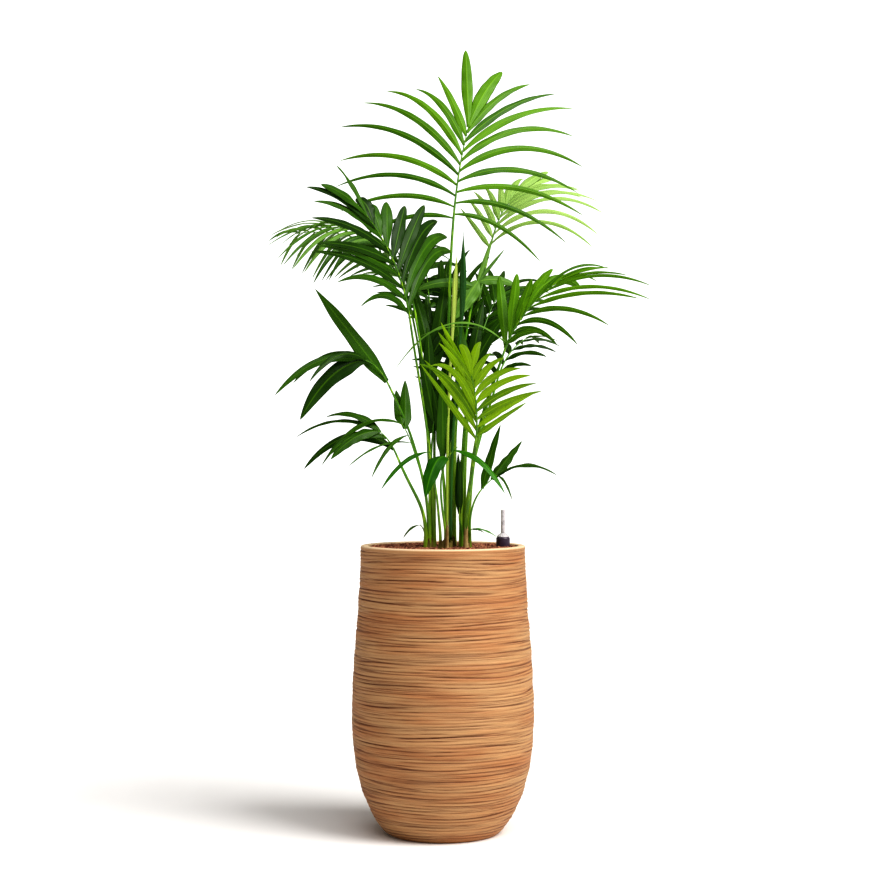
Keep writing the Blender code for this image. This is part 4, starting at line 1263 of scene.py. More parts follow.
@dataclass
class Foliage:
    """The leaflets of one frond, each a closed thin blade with a raised midrib and veins.

    A blade is a loop of corners swept along its centre line. Across the blade the share c runs
    from -1 to 1, and the height is -fold |c| + a ridge at c = 0 + small ridges between, with the
    margins moved one up and one down by sin(waves u + phase) c^2. The last station closes in a
    pole.
    """

    frond: Frond
    seed: int
    stations: int = 34
    across: int = 13            # corners across the upper side, margins and midrib among them
    thickness: float = 0.0007
    fold: float = 0.20
    fold_power: float = 1.2
    fold_spread: float = 0.5
    unfolding: float = 0.55     # how much flatter the fold is at the tip
    ridge: float = 0.0006
    ridge_width: float = 0.11   # share of half the blade
    ridge_below: float = -0.6   # the ridge on the underside, as a share of the upper one
    vein: float = 0.00022
    full_height: float = 0.006  # half width from which ridges and thickness are full
    wave: float = 0.10
    waves: tuple = (3, 2)       # waves along a blade, and their spread
    twist: float = 0.22         # radians at the tip
    sway: float = 0.12          # radians to and fro
    sways: float = 1.3          # how often, along a blade
    full_turn: float = 1.6      # how strongly a full leaflet turns to the viewer

    def pinnate(self, random: np.random.Generator) -> Leaves:
        """Leaflets in two rows along the rib, in the plane of the rib and the frond's side.

        Args:
            random: the frond's own numbers.

        Returns:
            The leaflets, right-hand row first.
        """
        frond = self.frond
        order = np.arange(frond.pairs)
        rows = []
        for hand, stagger in (side.value for side in Hand):
            along = np.minimum((order + stagger) / (frond.pairs - 1), 1.0)
            rows.append(np.column_stack([np.full(frond.pairs, hand), along]))
        hand, along = np.vstack(rows).T
        jitter = random.uniform(-1, 1, (len(along), 4))
        root, rib = bezier(frond.rib, FIRST_LEAFLET + (LAST_LEAFLET - FIRST_LEAFLET) * along)
        side = square(unit(np.array(frond.side)), rib)
        face = np.cross(side, rib)
        sides = [[graded(values, along) for values in leaflets]
                 for leaflets in (frond.right, frond.left)]
        angle, length, sag = np.where(hand > 0, sides[0], sides[1])
        angle = angle + ANGLE_SPREAD * jitter[:, 0]
        length = length * (1 + LENGTH_SPREAD * jitter[:, 1])
        sag = sag * (1 + SAG_SPREAD * jitter[:, 2])
        width = graded(frond.width, along)
        blunt = np.zeros(len(along), bool)
        if frond.ends:
            last = [frond.pairs - 1, 2 * frond.pairs - 1]
            angle[last], length[last], width[last], sag[last] = np.transpose(frond.ends)
            blunt[last] = True
        angle = np.radians(angle)[:, None]
        lift = (frond.lift + LIFT_SPREAD * jitter[:, 3])[:, None]
        start = unit(rib * np.cos(angle) + side * hand[:, None] * np.sin(angle) + face * lift)
        if frond.full:
            fuller = (hand == frond.full.value[0]) & (along < frond.full_share)
            blunt |= fuller
            width = np.where(fuller, frond.full_width, width)
            facing = unit(face + self.full_turn * np.array(FACING))
            face = np.where(fuller[:, None], facing, face)
        return Leaves(root, start, face, length, width, sag, blunt)

    def broad(self) -> Leaves:
        """The few broad leaves of a young frond, each with its own heading and rise.

        Returns:
            The leaves.
        """
        at, heading, rise, length, width, sag = np.array(self.frond.blades, float).T
        heading, rise = np.radians(heading), np.radians(rise)
        root, _ = bezier(self.frond.rib, at)
        start = polar(np.cos(rise), heading, np.sin(rise))
        face = np.tile(unit(np.array(self.frond.face)), (len(at), 1))
        return Leaves(root, start, face, length, width, sag, np.zeros(len(at), bool))

    def curves(self, leaves: Leaves) -> tuple[np.ndarray, np.ndarray, np.ndarray]:
        """Centre line, width direction and upper side of each leaflet.

        A leaflet's direction is its first one plus a downward pull that grows with the distance
        from the rib to the power SAG_GROWTH, at length 1, and its line is their running sum.

        Args:
            leaves: what the curves grow from.

        Returns:
            Three arrays (leaf, station, 3).
        """
        middle = (np.arange(self.stations) + 0.5) / self.stations
        pull = leaves.sag[:, None, None] * (middle**SAG_GROWTH)[None, :, None]
        steps = unit(leaves.start[:, None, :] - pull * UP)
        run = np.cumsum(steps, axis=1) * (leaves.length / self.stations)[:, None, None]
        line = leaves.root[:, None] + np.concatenate([np.zeros_like(run[:, :1]), run], axis=1)
        between = (steps[:, 1:] + steps[:, :-1]) / 2
        along = unit(np.concatenate([steps[:, :1], between, steps[:, -1:]], axis=1))
        upper = square(leaves.face[:, None, :], along)
        return line, np.cross(along, upper), upper

    def heights(self, half: np.ndarray, share: np.ndarray, loop: np.ndarray, under: np.ndarray,
                own: np.ndarray) -> np.ndarray:
        """How far each corner of each blade stands above the plane of its blade.

        Args:
            half: half the width (leaf, station).
            share: place along a leaflet, from 0 to 1, for each station.
            loop: place across, from -1 to 1, for each corner of a loop.
            under: 1 for the corners of the underside.
            own: each leaflet's own numbers.

        Returns:
            An array (leaf, station, corner).
        """
        reach = np.abs(loop)
        skin = np.where(reach < 1, 0.5 - under, 0.0) * (1 - reach**6)
        folded = self.fold * (1 - self.unfolding * share) * (1 + self.fold_spread * own[:, 3:4])
        count, spread = self.waves
        waves = np.sin(TURN * ((count + spread * own[:, 4:5]) * share + own[:, 5:6]))
        rise = self.wave * waves[..., None] * loop**2 * np.sign(loop + 0.3)
        rise = (rise - folded[..., None] * reach**self.fold_power) * half[..., None]
        ridge = self.ridge * np.exp(-((loop / self.ridge_width) ** 2))
        ridge = ridge * np.where(under > 0, self.ridge_below, 1.0)
        veins = self.vein * np.cos(2 * TURN * loop) * (1 - loop**2)
        grown = smooth(half, 0.0, self.full_height)[..., None]
        return rise + (ridge + veins + skin * self.thickness) * grown

    def surface(self) -> Surface:
        """The joined leaflets.

        Returns:
            The surface with the values across, along, under and tint, and an atlas that gives
            each leaflet its own strip.
        """
        random = np.random.default_rng(self.seed)
        leaves = self.broad() if self.frond.blades else self.pinnate(random)
        line, side, upper = self.curves(leaves)
        count = len(leaves.root)
        own = random.uniform(-1, 1, (count, 6))
        share = np.linspace(0, 1, self.stations + 1)[:-1]
        line, tips, side, upper = line[:, :-1], line[:, -1], side[:, :-1], upper[:, :-1]

        sway = self.sway * own[:, 1:2] * np.sin(TURN * (self.sways * share + own[:, 2:3]))
        turn = (self.twist * own[:, :1] * share**1.5 + sway)[..., None]
        side, upper = (side * np.cos(turn) + upper * np.sin(turn),
                       upper * np.cos(turn) - side * np.sin(turn))
        outline = np.where(leaves.blunt[:, None], BLUNT.width(share), SLENDER.width(share))
        half = outline * leaves.width[:, None] / 2

        top = np.linspace(-1, 1, self.across)
        loop = np.concatenate([top, top[-2:0:-1]])
        under = np.concatenate([np.zeros(self.across), np.ones(self.across - 2)])
        rise = self.heights(half, share, loop, under, own)
        rings = (line[:, :, None] + side[:, :, None] * (half[..., None] * loop)[..., None]
                 + upper[:, :, None] * rise[..., None])

        plane = np.ones((len(share), len(loop)))
        kept = {"across": plane * loop, "under": plane * under, "along": plane * share[:, None]}
        tints = random.uniform(0, 1, count)
        surface = joined([lofted(ring, {**kept, "tint": plane * tint}, root, tip)
                          for ring, root, tip, tint in zip(rings, leaves.root, tips, tints)])
        surface.atlas = self.atlas(count, len(share), len(loop))
        return surface

    def atlas(self, count: int, places: int, sides: int) -> np.ndarray:
        """A strip of the unit square for each leaflet, its loop laid open across the strip.

        Args:
            count: number of leaflets.
            places: stations of each.
            sides: corners of each loop.

        Returns:
            A place in the square for each face corner, quads of all leaflets first.
        """
        columns = 2 if count > 6 else 1
        rows = math.ceil(count / columns)
        margin = 0.004
        i, k = np.meshgrid(np.arange(places - 1), np.arange(sides), indexing="ij")
        u = np.stack([i, i, i + 1, i + 1], axis=-1).reshape(-1) / places
        v = np.stack([k, k + 1, k + 1, k], axis=-1).reshape(-1) / sides
        k = np.arange(sides)
        foot = np.stack([k + 0.5, k + 1, k], axis=-1).reshape(-1) / sides
        tip = np.stack([k + 0.5, k, k + 1], axis=-1).reshape(-1) / sides
        near = np.tile([0.0, margin, margin], sides)
        far = np.tile([1.0, (places - 1) / places, (places - 1) / places], sides)
        size = np.array([0.97 / columns, 0.94 / rows])
        quads, triangles = [], []
        for number in range(count):
            corner = np.array([number % columns / columns, number // columns / rows])
            quads.append(corner + size * np.column_stack([margin + (1 - margin) * u, v]))
            triangles.append(corner + size * np.column_stack([near, foot]))
            triangles.append(corner + size * np.column_stack([far, tip]))
        return np.vstack(quads + triangles)


def petiole_foot(stem_name: str, seat: float) -> np.ndarray:
    """The point on a stem's flat top where a petiole stands.

    Args:
        stem_name: the stem.
        seat: degrees round its axis.

    Returns:
        The point.
    """
    stem = next(s for s in STEMS if s.name == stem_name)
    top = SOIL_LEVEL + STEM_HEIGHT + 2 * CLEARANCE
    return polar(SEAT_RADIUS, math.radians(seat), top) + [stem.x, stem.y, 0.0]


@dataclass
class Stalk:
    """A petiole and the rib that goes on from it, as one channelled and tapering tube.

    Its radius at the angle a is its taper times (1 - a channel on top + ribbing cos(ribs a)).
    """

    frond: Frond
    seed: int
    rings: int = 96
    sides: int = 20
    channel: float = 0.26       # depth of the groove on the upper side, share of the radius
    channel_width: float = 0.55  # radians
    ribbing: float = 0.035      # height of the fine ribs, share of the radius
    ribs: int = 5
    swelling: float = 0.55      # how much wider the foot is
    swelling_height: float = 0.030
    wander: float = 0.0016
    bends: float = 9.0          # radians of the wandering, from the foot to the tip
    channel_start: tuple = (0.03, 0.20)
    channel_stop: float = 0.9   # share of the petiole

    def surface(self) -> Surface:
        """The tube.

        Returns:
            The surface with the values along and tint.
        """
        frond = self.frond
        foot, collar = petiole_foot(frond.stem, frond.seat), np.array(frond.collar)
        reach = np.linalg.norm(collar - foot)
        into_rib = unit(np.array(frond.bend) - collar)
        controls = [foot, foot + UP * PETIOLE_RISE * reach,
                    collar - into_rib * PETIOLE_REACH * reach, collar]
        lower, _ = bezier(controls, np.linspace(0, 1, self.rings * 2 // 3))
        upper, _ = bezier(frond.rib, np.linspace(0, 1, self.rings // 3 + 1)[1:])
        base = foot - UP * np.linspace(STEM_HEIGHT, 0.002, 9)[:, None]
        path = np.vstack([base, lower, upper])
        run = run_along(path)
        size = np.interp(run, [0, reach, run[-1]], [*frond.petiole_radius, RIB_TIP_RADIUS])
        size = size * (1 + self.swelling * np.exp(-run / self.swelling_height))
        random = np.random.default_rng(100 + self.seed)
        drift = random.uniform(-1, 1, (3, 2))
        bow = np.sin(math.pi * np.clip(run / reach, 0, 1)) ** 2
        wander = np.sin(self.bends * run / run[-1] + 6 * drift[:, 1:]) * self.wander * drift[:, :1]
        path = path + (wander * bow).T * [1, 1, 0]
        turn = around(self.sides)
        top = np.exp(-(((turn - math.pi / 2) / self.channel_width) ** 2))
        grown = smooth(run, *self.channel_start)
        grown = grown * (1 - smooth(run, self.channel_stop * reach, reach))
        shape = 1 - self.channel * grown[:, None] * top + self.ribbing * np.cos(self.ribs * turn)
        return sweep(path, frond.side, size[:, None] * shape, run / reach, random.uniform())


@dataclass
class Sheath:
    """A short stem in its fibrous leaf bases: overlapping ragged layers round a stub.

    Each layer is a tube whose radius is its own plus a fine ripple round the axis, and whose upper
    edge is ragged: its height varies with the angle. Its wall turns back inside at the top.
    """

    stem: Stem
    seed: int
    foot_radius: float = 0.0120
    top_radius: float = 0.0096
    rise: float = STEM_HEIGHT
    columns: int = 60
    rows: int = 26
    layers: int = 3
    fibre: float = 0.0007
    fibres: tuple = (23, 37)    # round the axis, two sets
    wall: float = 0.0006
    foot_wall: float = 0.0005   # how much thicker the wall is at its foot
    first_inset: float = 0.0010
    layer_step: float = 0.0008  # how much further out each layer is
    lower: float = 0.26         # how much lower each layer ends, share of the height
    flare_height: float = 0.006
    ragged: tuple = ((1, 0.30), (3, 0.14), (11, 0.07))  # waves round and share of the height

    def layer(self, number: int, random: np.random.Generator) -> Surface:
        """One leaf base.

        Args:
            number: 0 for the innermost.
            random: the stem's own numbers.

        Returns:
            A closed tube with a thin wall, with a value for the painted shade in its hollows and on
            its inner side.
        """
        angle = around(self.columns)[None, :]
        rise = np.linspace(0, 1, self.rows)[:, None]
        phase = random.uniform(0, TURN, 5)
        ragged = sum(deep * np.sin(waves * angle + start)
                     for (waves, deep), start in zip(self.ragged, phase))
        height = rise * self.rise * (1.0 - self.lower * number + ragged)
        flare = (self.foot_radius - self.top_radius) * np.exp(-height / self.flare_height)
        many, more = self.fibres
        ripple = np.sin(many * angle + phase[3] + 3 * rise) + np.sin(more * angle + phase[4])
        radius = self.top_radius - self.first_inset + self.layer_step * number
        radius = radius + flare * (0.8 + 0.1 * number)
        radius = radius + self.fibre * 0.5 * ripple * (0.4 + 0.6 * rise)
        inside = radius[::-1] - self.wall - self.foot_wall * (1 - rise)
        half = self.rows // 2
        rings = np.vstack([polar(radius, angle, height),
                           polar(inside, angle, height[::-1])[:half]])
        # painted shade: more in the hollows between fibres, full on the inner side of the wall
        painted_hollow_shade = np.clip(0.5 - 0.35 * ripple, 0, 1) + 0 * radius
        painted_hollow_shade = np.vstack([painted_hollow_shade, np.ones_like(painted_hollow_shade[:half])])
        return lofted(rings, {"painted_hollow_shade": painted_hollow_shade}, 0 * UP, UP * height[half].mean())

    def surface(self) -> Surface:
        """All layers at the stem's place.

        Returns:
            The surface.
        """
        random = np.random.default_rng(200 + self.seed)
        surface = joined([self.layer(number, random) for number in range(self.layers)])
        surface.points = surface.points + [self.stem.x, self.stem.y, SOIL_LEVEL + CLEARANCE]
        return surface


@dataclass
class FoldedFrond:
    """A spear: a slim stalk that swells into pleats wound round each other, and a sharp tip."""

    spear: Spear
    rings: int = 120
    sides: int = 36
    pleats: int = 6
    depth: float = 0.22
    winding: float = 26.0       # radians to the metre
    swelling: float = 0.16      # metres over which the stalk swells
    sharpness: float = 0.0006   # radius at the tip
    rise: float = 0.4           # metres that the stalk heads straight up
    lead: float = 0.2           # metres that it heads straight into the blade

    def surface(self) -> Surface:
        """The spear.

        Returns:
            The surface with the values along and tint.
        """
        spear = self.spear
        foot = petiole_foot(spear.stem, spear.seat)
        tip, swell = np.array(spear.tip), np.array(spear.swell)
        controls = [foot, foot + UP * self.rise, swell - unit(tip - swell) * self.lead, swell]
        stalk, _ = bezier(controls, np.linspace(0, 1, self.rings * 2 // 3))
        blade = swell + (tip - swell) * np.linspace(0, 1, self.rings // 3 + 1)[1:, None]
        path = np.vstack([stalk, blade])
        run = run_along(path)
        middle = run[len(stalk) - 1]
        beyond = (run - middle) / (run[-1] - middle)
        share = np.clip(beyond, 0, 1)
        body = smooth(run, middle - self.swelling, middle) * (1 - share**1.6)
        size = spear.stalk_radius + (spear.swell_radius - spear.stalk_radius) * body
        size = np.where(beyond > 0, np.maximum(size * (1 - share**2.2), self.sharpness), size)
        pleat = np.cos(self.pleats * around(self.sides) + self.winding * run[:, None])
        shape = 1 - self.depth * body[:, None] * (0.5 + 0.5 * pleat) ** 2
        return sweep(path, (1.0, 0.0, 0.0), size[:, None] * shape, run / run[-1], 0.0)


# Planter and what it holds

@dataclass
class Planter:
    """The planter: a turned vessel whose wall is combed into wandering, merging ribs.

    The outer radius follows the solid's profile. Grooves lie where (h + warp) / pitch is a whole
    number, and come and go with slow noise; long deep ones lie on a wider pitch.
    """

    columns: int = 200
    rows_below: int = 190
    rows_above: int = 270
    pitch: float = 0.0084
    groove: float = 0.0017
    long_pitch: float = 0.024
    long_groove: float = 0.0022
    long_width: float = 0.0021
    wander: float = 0.0036      # how far the grooves rise and fall, slowly and finely
    tremble: float = 0.0008
    swell: float = 0.0007
    grain: float = 0.00035
    foot_fade: float = 0.012    # height below which the combing fades
    rim_fade: tuple = (0.684, 0.693)
    rim_band: tuple = (0.0050, 0.0016)  # depths below the top where the painted light on the rim starts and is full
    crowding: float = 0.3       # share of the rows' spacing that grows from foot to belly
    slow: Ripple = Ripple(1, 10, 3, 0.20)
    quick: Ripple = Ripple(2, 18, 6, 0.036)
    coming: Ripple = Ripple(3, 30, 6, 0.018)
    long_coming: Ripple = Ripple(4, 22, 4, 0.045)
    fine: Ripple = Ripple(5, 40, 12, 0.0075)
    lumps: Ripple = Ripple(6, 14, 5, 0.05)

    def radius(self, height: np.ndarray) -> np.ndarray:
        """The outer radius: a smooth swell to the belly, then a rounded tuck to the foot.

        Args:
            height: metres above the underside.

        Returns:
            The radius there.
        """
        upper = np.clip((RIM_HEIGHT - height) / (RIM_HEIGHT - BELLY_HEIGHT), 0, 1)
        lower = np.clip((BELLY_HEIGHT - height) / BELLY_HEIGHT, 0, 1)
        swell = RIM_RADIUS + (BELLY_RADIUS - RIM_RADIUS) * smooth(upper, 0, 1)
        tuck = FOOT_RADIUS + (BELLY_RADIUS - FOOT_RADIUS) * (1 - lower**TUCK_RISE) ** TUCK_TURN
        return np.where(height >= BELLY_HEIGHT, swell, tuck)

    def profile(self) -> np.ndarray:
        """Points of the wall from the middle of the underside, up outside, over the rim, down in.

        Returns:
            An array of radius and height.
        """
        share = np.linspace(0, 1, self.rows_below)
        crowded = 1 - np.cos(math.pi / 2 * share)
        low = BELLY_HEIGHT * ((1 - self.crowding) * share + self.crowding * crowded)
        high = np.linspace(BELLY_HEIGHT, RIM_HEIGHT - LIP, self.rows_above)
        heights = np.concatenate([low, high[1:]])
        outside = np.column_stack([self.radius(heights), heights])
        turn = np.linspace(0, math.pi / 2, 8)[1:]
        rise, fall = LIP * np.sin(turn), LIP * np.cos(turn)
        lip = [np.column_stack([RIM_RADIUS - LIP + fall, RIM_HEIGHT - LIP + rise]),
               np.column_stack([RIM_RADIUS - WALL + LIP - rise, RIM_HEIGHT - LIP + fall])]
        inner = np.array([0.66, 0.5, 0.34, 0.22, 0.12, 0.05, FLOOR])
        inside = np.column_stack([self.radius(inner) - WALL, inner])
        under = np.array([[0.0, 0.0], [0.06, 0.0], [FOOT_RADIUS - 0.004, 0.0]])
        floor = np.array([[0.05, FLOOR], [0.0, FLOOR]])
        return np.vstack([under, outside, *lip, inside, floor])

    def relief(self, angle: np.ndarray, radius: np.ndarray, height: np.ndarray) -> tuple:
        """The combing.

        Args:
            angle: radians round the axis, for each corner.
            radius: metres, for each corner.
            height: metres, for each corner.

        Returns:
            How far each corner moves outwards, and the values groove, the painted shade of the
            grooves, and rim, the painted light on the rim.
        """
        outside = radius > self.radius(height) - 0.002
        fade = smooth(height, 0.0, self.foot_fade) * (1 - smooth(height, *self.rim_fade)) * outside
        warp = self.wander * self.slow.at(angle, height)
        warp = warp + self.tremble * self.quick.at(angle, height)
        comb = (1 - np.abs(np.sin(math.pi * (height + warp) / self.pitch))) ** 2.2
        come = smooth(self.coming.at(angle, height), -1.5, 0.9)
        far = (height + 1.6 * warp) / self.long_pitch + 0.23
        away = np.abs((far + 0.5) % 1 - 0.5) * self.long_pitch / self.long_width
        long_come = smooth(self.long_coming.at(angle, height), -0.2, 0.9)
        fine = self.fine.at(angle, height)
        short, long = comb * come, np.clip(1 - away, 0, 1) * long_come
        out = -self.groove * short - self.long_groove * long + self.grain * fine
        out = out + self.swell * self.lumps.at(angle, height)
        # painted shade: how dark the clay is painted in the sunken grooves
        dark = np.clip(short + 0.95 * long - 0.08 * fine, 0, 1) * fade
        # painted light: a band at the top of the rim
        rim = smooth(height, *(RIM_HEIGHT - depth for depth in self.rim_band))
        return out * fade, {"groove": dark, "rim": rim}

    def surface(self) -> Surface:
        """The planter's surface with the values groove and rim."""
        return revolved(self.profile(), self.columns, self.relief)


@dataclass
class Granules:
    """The top layer of clay granules, each a lumpy pebble, on a jittered hexagonal grid."""

    spacing: float = 0.0071
    radius: float = 0.0036
    seed: int = 31
    reach: float = 0.1775
    stem_gap: float = 0.0145
    gauge_gap: float = 0.0185
    bed: float = 0.0006         # centres stand 0 to 4 times this over the substrate
    jitter: float = 0.3         # share of the spacing
    stretches: tuple = (0.75, 1.2)
    sizes: tuple = (0.8, 1.15)
    lump: float = 0.10          # shares of the radius
    dent: float = 0.07

    def pebble(self) -> tuple[np.ndarray, np.ndarray]:
        """A sphere of 42 corners.

        Returns:
            Its corners and three-sided faces.
        """
        ball = bmesh.new()
        bmesh.ops.create_icosphere(ball, subdivisions=2, radius=1.0)
        points = np.array([vert.co for vert in ball.verts])
        faces = np.array([[vert.index for vert in face.verts] for face in ball.faces])
        ball.free()
        return points, faces

    def places(self, random: np.random.Generator) -> np.ndarray:
        """Centres of the granules, clear of the stems and the gauge.

        Args:
            random: numbers for the jitter.

        Returns:
            An array (granule, 2).
        """
        count = int(2 * self.reach / self.spacing) + 2
        i, j = np.meshgrid(np.arange(-count, count), np.arange(-count, count), indexing="ij")
        grid = np.column_stack([(i + 0.5 * (j % 2)).ravel(), (j * math.sqrt(0.75)).ravel()])
        grid = grid * self.spacing
        grid = grid + random.uniform(-self.jitter, self.jitter, grid.shape) * self.spacing
        kept = np.linalg.norm(grid, axis=1) < self.reach
        clear = [(stem.x, stem.y, self.stem_gap) for stem in STEMS]
        for x, y, gap in clear + [(*GAUGE_PLACE, self.gauge_gap)]:
            kept &= np.linalg.norm(grid - [x, y], axis=1) > gap
        return grid[kept]

    def surface(self) -> Surface:
        """All granules as one surface.

        Each is the sphere stretched along its own three axes, with its corners set in and out.

        Returns:
            The surface with the value tint.
        """
        random = np.random.default_rng(self.seed)
        ball, faces = self.pebble()
        place = self.places(random)
        count = len(place)
        axes, _ = np.linalg.qr(random.normal(size=(count, 3, 3)))
        axes = axes * np.sign(np.linalg.det(axes))[:, None, None]
        stretch = random.uniform(*self.stretches, (count, 1, 3)) * self.radius
        stretch = stretch * random.uniform(*self.sizes, (count, 1, 1))
        lumps = 1 + self.lump * np.sin(3.1 * ball @ random.normal(size=(3, 5))).mean(-1)
        lumps = lumps[None] + random.uniform(-self.dent, self.dent, (count, len(ball)))
        points = np.einsum("nij,nkj->nki", axes, ball[None] * stretch * lumps[..., None])
        level = SOIL_LEVEL + SOIL_DISH * smooth(np.linalg.norm(place, axis=1), 0.1, 0.19)
        level = level + self.bed + random.uniform(-self.bed, 3 * self.bed, count)
        points = points + np.column_stack([place, level])[:, None]
        start = np.arange(count)[:, None, None] * len(ball)
        triangles = (faces[None] + start).reshape(-1, 3)
        tint = np.repeat(random.uniform(0, 1, count), len(ball))
        return Surface(points.reshape(-1, 3), np.zeros((0, 4), int), triangles, {"tint": tint})


@dataclass(frozen=True)
class GaugePart:
    """One turned part of the gauge: its profile, where it stands and how finely it is turned."""

    name: str
    corners: tuple
    rounding: float
    base: float
    finish: Finish
    nodes: tuple = ()
    columns: int = 64
    ribs: int = 0
    rib_depth: float = 0.0005

    def ribbing(self, angle: np.ndarray, radius: np.ndarray, height: np.ndarray) -> tuple:
        """Upright ribs on the wall, fading at its ends: -depth (1 + cos(ribs a)) / 2.

        Args:
            angle: radians round the axis, for each corner.
            radius: metres, for each corner; not used.
            height: metres, for each corner.

        Returns:
            How far each corner moves outwards, and no values.
        """
        low, high = height.min(), height.max()
        fade = smooth(height, low + 0.002, low + 0.004)
        fade = fade * (1 - smooth(height, high - 0.006, high - 0.004))
        return -self.rib_depth * (0.5 + 0.5 * np.cos(self.ribs * angle)) * fade, {}

    def surface(self) -> Surface:
        """The part, with shallow upright ribs where it has any.

        Returns:
            The surface.
        """
        profile = rounded(list(self.corners), self.rounding)
        surface = revolved(profile, self.columns, self.ribbing if self.ribs else None)
        surface.points = surface.points + [*GAUGE_PLACE, self.base]
        return surface


# Husks and gauge

HUSKS = (
    Sheath(Stem("husk_right", 0.056, -0.030), 11, 0.0068, 0.0054, 0.040),
    Sheath(Stem("husk_front", 0.010, -0.053), 12, 0.0046, 0.0034, 0.050),
)

GAUGE = (
    GaugePart("gauge_cap_dressed",
              ((0, 0), (0.0160, 0), (0.0168, 0.001), (0.0168, 0.0225), (0.0150, 0.0255),
               (0, 0.0255)),
              0.0012, GAUGE_BASE, CAP, ("gauge_cap",), 144, 36),
    GaugePart("gauge_dome_dressed",
              ((0, 0), (0.0148, 0), (0.0154, 0.0010), (0.0118, 0.0052), (0.0060, 0.0088),
               (0.0056, 0.0105), (0, 0.0105)),
              0.0016, DOME_BASE, GLASS, ("gauge_dome",)),
    GaugePart("gauge_tube_dressed",
              ((0, 0), (0.0054, 0), (0.0054, 0.052), (0.0046, 0.056), (0, 0.056)),
              0.0008, TUBE_BASE, GLASS, ("gauge_tube",)),
)


# Room

@dataclass(frozen=True)
class Lamp:
    """A soft lamp far away, whose light comes from one direction."""

    name: str
    turn: float             # degrees to the right of the camera's own direction
    rise: float             # degrees above the level
    strength: float
    softness: float         # degrees that it spans
    colour: tuple = (1.0, 1.0, 1.0)
    distance: float = 6.0

    def build(self) -> None:
        """Put the lamp into the scene, shining towards the origin."""
        light = bpy.data.lights.new(self.name, "SUN")
        light.energy = self.strength
        light.angle = math.radians(self.softness)
        light.color = self.colour
        rise = math.radians(self.rise)
        towards = Vector(polar(math.cos(rise), math.radians(self.turn - 90), math.sin(rise)))
        lamp = linked(self.name, light)
        lamp.location = towards * self.distance
        lamp.rotation_euler = (-towards).to_track_quat("-Z", "Y").to_euler()


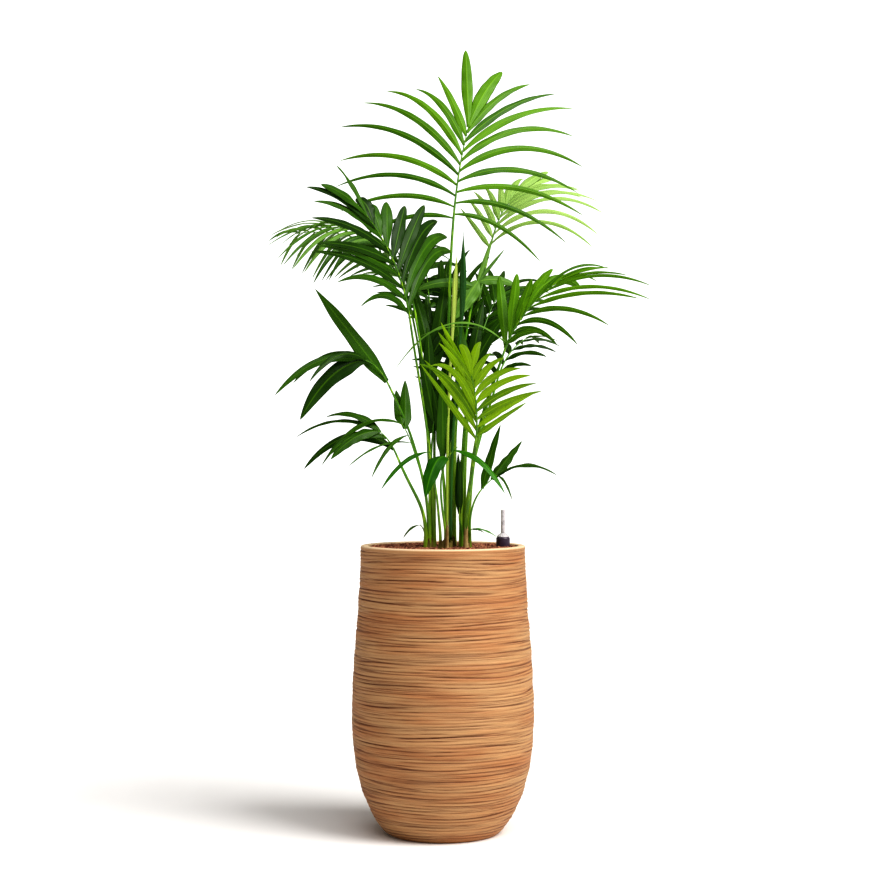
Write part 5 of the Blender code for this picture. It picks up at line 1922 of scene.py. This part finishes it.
@dataclass(frozen=True)
class Studio:
    """Pale floor, white surroundings, a key lamp at the upper right and a softer one above it."""

    lens: float = 73.5
    sensor: float = 36.0
    sight: float = 60.0             # how far the camera sees
    camera_place: tuple = (0.005, -4.43, 0.942)
    floor_radius: float = 30.0
    floor_sides: int = 96
    floor_greys: tuple = (0.83, 0.86)
    white: float = 1.0              # surroundings that the camera sees
    ambient: float = 0.22           # light that comes from them
    ambient_colour: tuple = (1.0, 0.94, 0.88, 1.0)
    lamps: tuple = (
        Lamp("key", 60.0, 46.0, 2.5, 36.0, (1.0, 0.98, 0.95)),
        Lamp("top", 20.0, 66.0, 1.2, 50.0),
    )

    def floor(self) -> None:
        """Put a flat round floor just under the planter."""
        turn = around(self.floor_sides)
        ring = np.column_stack([np.cos(turn), np.sin(turn), 0 * turn]) * self.floor_radius
        mesh = bpy.data.meshes.new("floor")
        mesh.from_pydata(ring.tolist(), [], [list(range(self.floor_sides))])
        material = bpy.data.materials.new("studio_floor")
        material.use_nodes = True
        coat = Coat(material.node_tree)
        low, high = ((grey, grey, grey, 1.0) for grey in self.floor_greys)
        coat.feed(coat.shader["Base Color"], coat.mix(coat.noise(3.0), low, high))
        coat.feed(coat.shader["Roughness"], 0.9)
        mesh.materials.append(material)
        linked("floor", mesh)

    def camera(self) -> None:
        """Put a level camera at the photograph's distance."""
        data = bpy.data.cameras.new("camera")
        data.lens = self.lens
        data.sensor_width = self.sensor
        data.clip_end = self.sight
        camera = linked("camera", data)
        camera.location = self.camera_place
        camera.rotation_euler = (math.pi / 2, 0.0, 0.0)
        bpy.context.scene.camera = camera

    def surroundings(self) -> None:
        """Make the world white for the camera and a weak light for everything else."""
        world = bpy.data.worlds.new("studio")
        world.use_nodes = True
        graph = Graph(world.node_tree)
        seen = graph.add("ShaderNodeLightPath").outputs["Is Camera Ray"]
        background = world.node_tree.nodes["Background"].inputs
        graph.feed(background["Color"], graph.mix(seen, self.ambient_colour, (1.0, 1.0, 1.0, 1.0)))
        graph.feed(background["Strength"], graph.band(seen, 0.0, 1.0, self.ambient, self.white))
        bpy.context.scene.world = world

    def build(self) -> None:
        """Put the room, its lamps and the camera into the scene."""
        settings = bpy.context.scene.view_settings
        settings.view_transform = "Standard"
        settings.look = "High Contrast"
        self.surroundings()
        self.floor()
        for lamp in self.lamps:
            lamp.build()
        self.camera()


def dress_plant() -> None:
    """Add the leaflets, stalks, sheaths, spears and dry stubs; shoots stand for no solid."""
    for number, frond in enumerate(FRONDS + SHOOTS):
        nodes = [f"frond_{frond.name}", f"petiole_{frond.name}"] if frond in FRONDS else []
        publish(f"leaflets_{frond.name}", Foliage(frond, number).surface(),
                LEAVES[frond.finish], *nodes[:1])
        publish(f"stalk_{frond.name}", Stalk(frond, number).surface(), STALKS, *nodes[1:])
    for spear, finish in zip(SPEARS, (SPEAR_PALE, SPEAR_DARK)):
        publish(f"{spear.name}_dressed", FoldedFrond(spear).surface(), finish, spear.name)
    for number, stem in enumerate(STEMS):
        publish(f"sheath_{stem.name}", Sheath(stem, number).surface(), SHEATHS, stem.name)
    for husk in HUSKS:
        publish(husk.stem.name, husk.surface(), HUSK)


def dress_planter() -> None:
    """Add the planter, its granules and its gauge."""
    publish("planter_dressed", Planter().surface(), CLAY, "planter")
    publish("granules", Granules().surface(), GRANULES)
    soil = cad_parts["substrate"]
    soil.data.materials.clear()
    soil.data.materials.append(GRANULES.material())
    for part in GAUGE:
        publish(part.name, part.surface(), part.finish, *part.nodes)
    turn = np.linspace(0, math.pi, 13)
    ball = revolved(FLOAT_RADIUS * np.column_stack([np.sin(turn), -np.cos(turn)]), 24)
    ball.points = ball.points + [*GAUGE_PLACE, TUBE_BASE - FLOAT_SINK]
    publish("gauge_float", ball, FLOAT)


def main() -> None:
    """Build the room and every piece."""
    logging.basicConfig(level=logging.INFO, format="%(message)s")
    Studio().build()
    dress_planter()
    dress_plant()


if __name__ == "__main__":
    main()
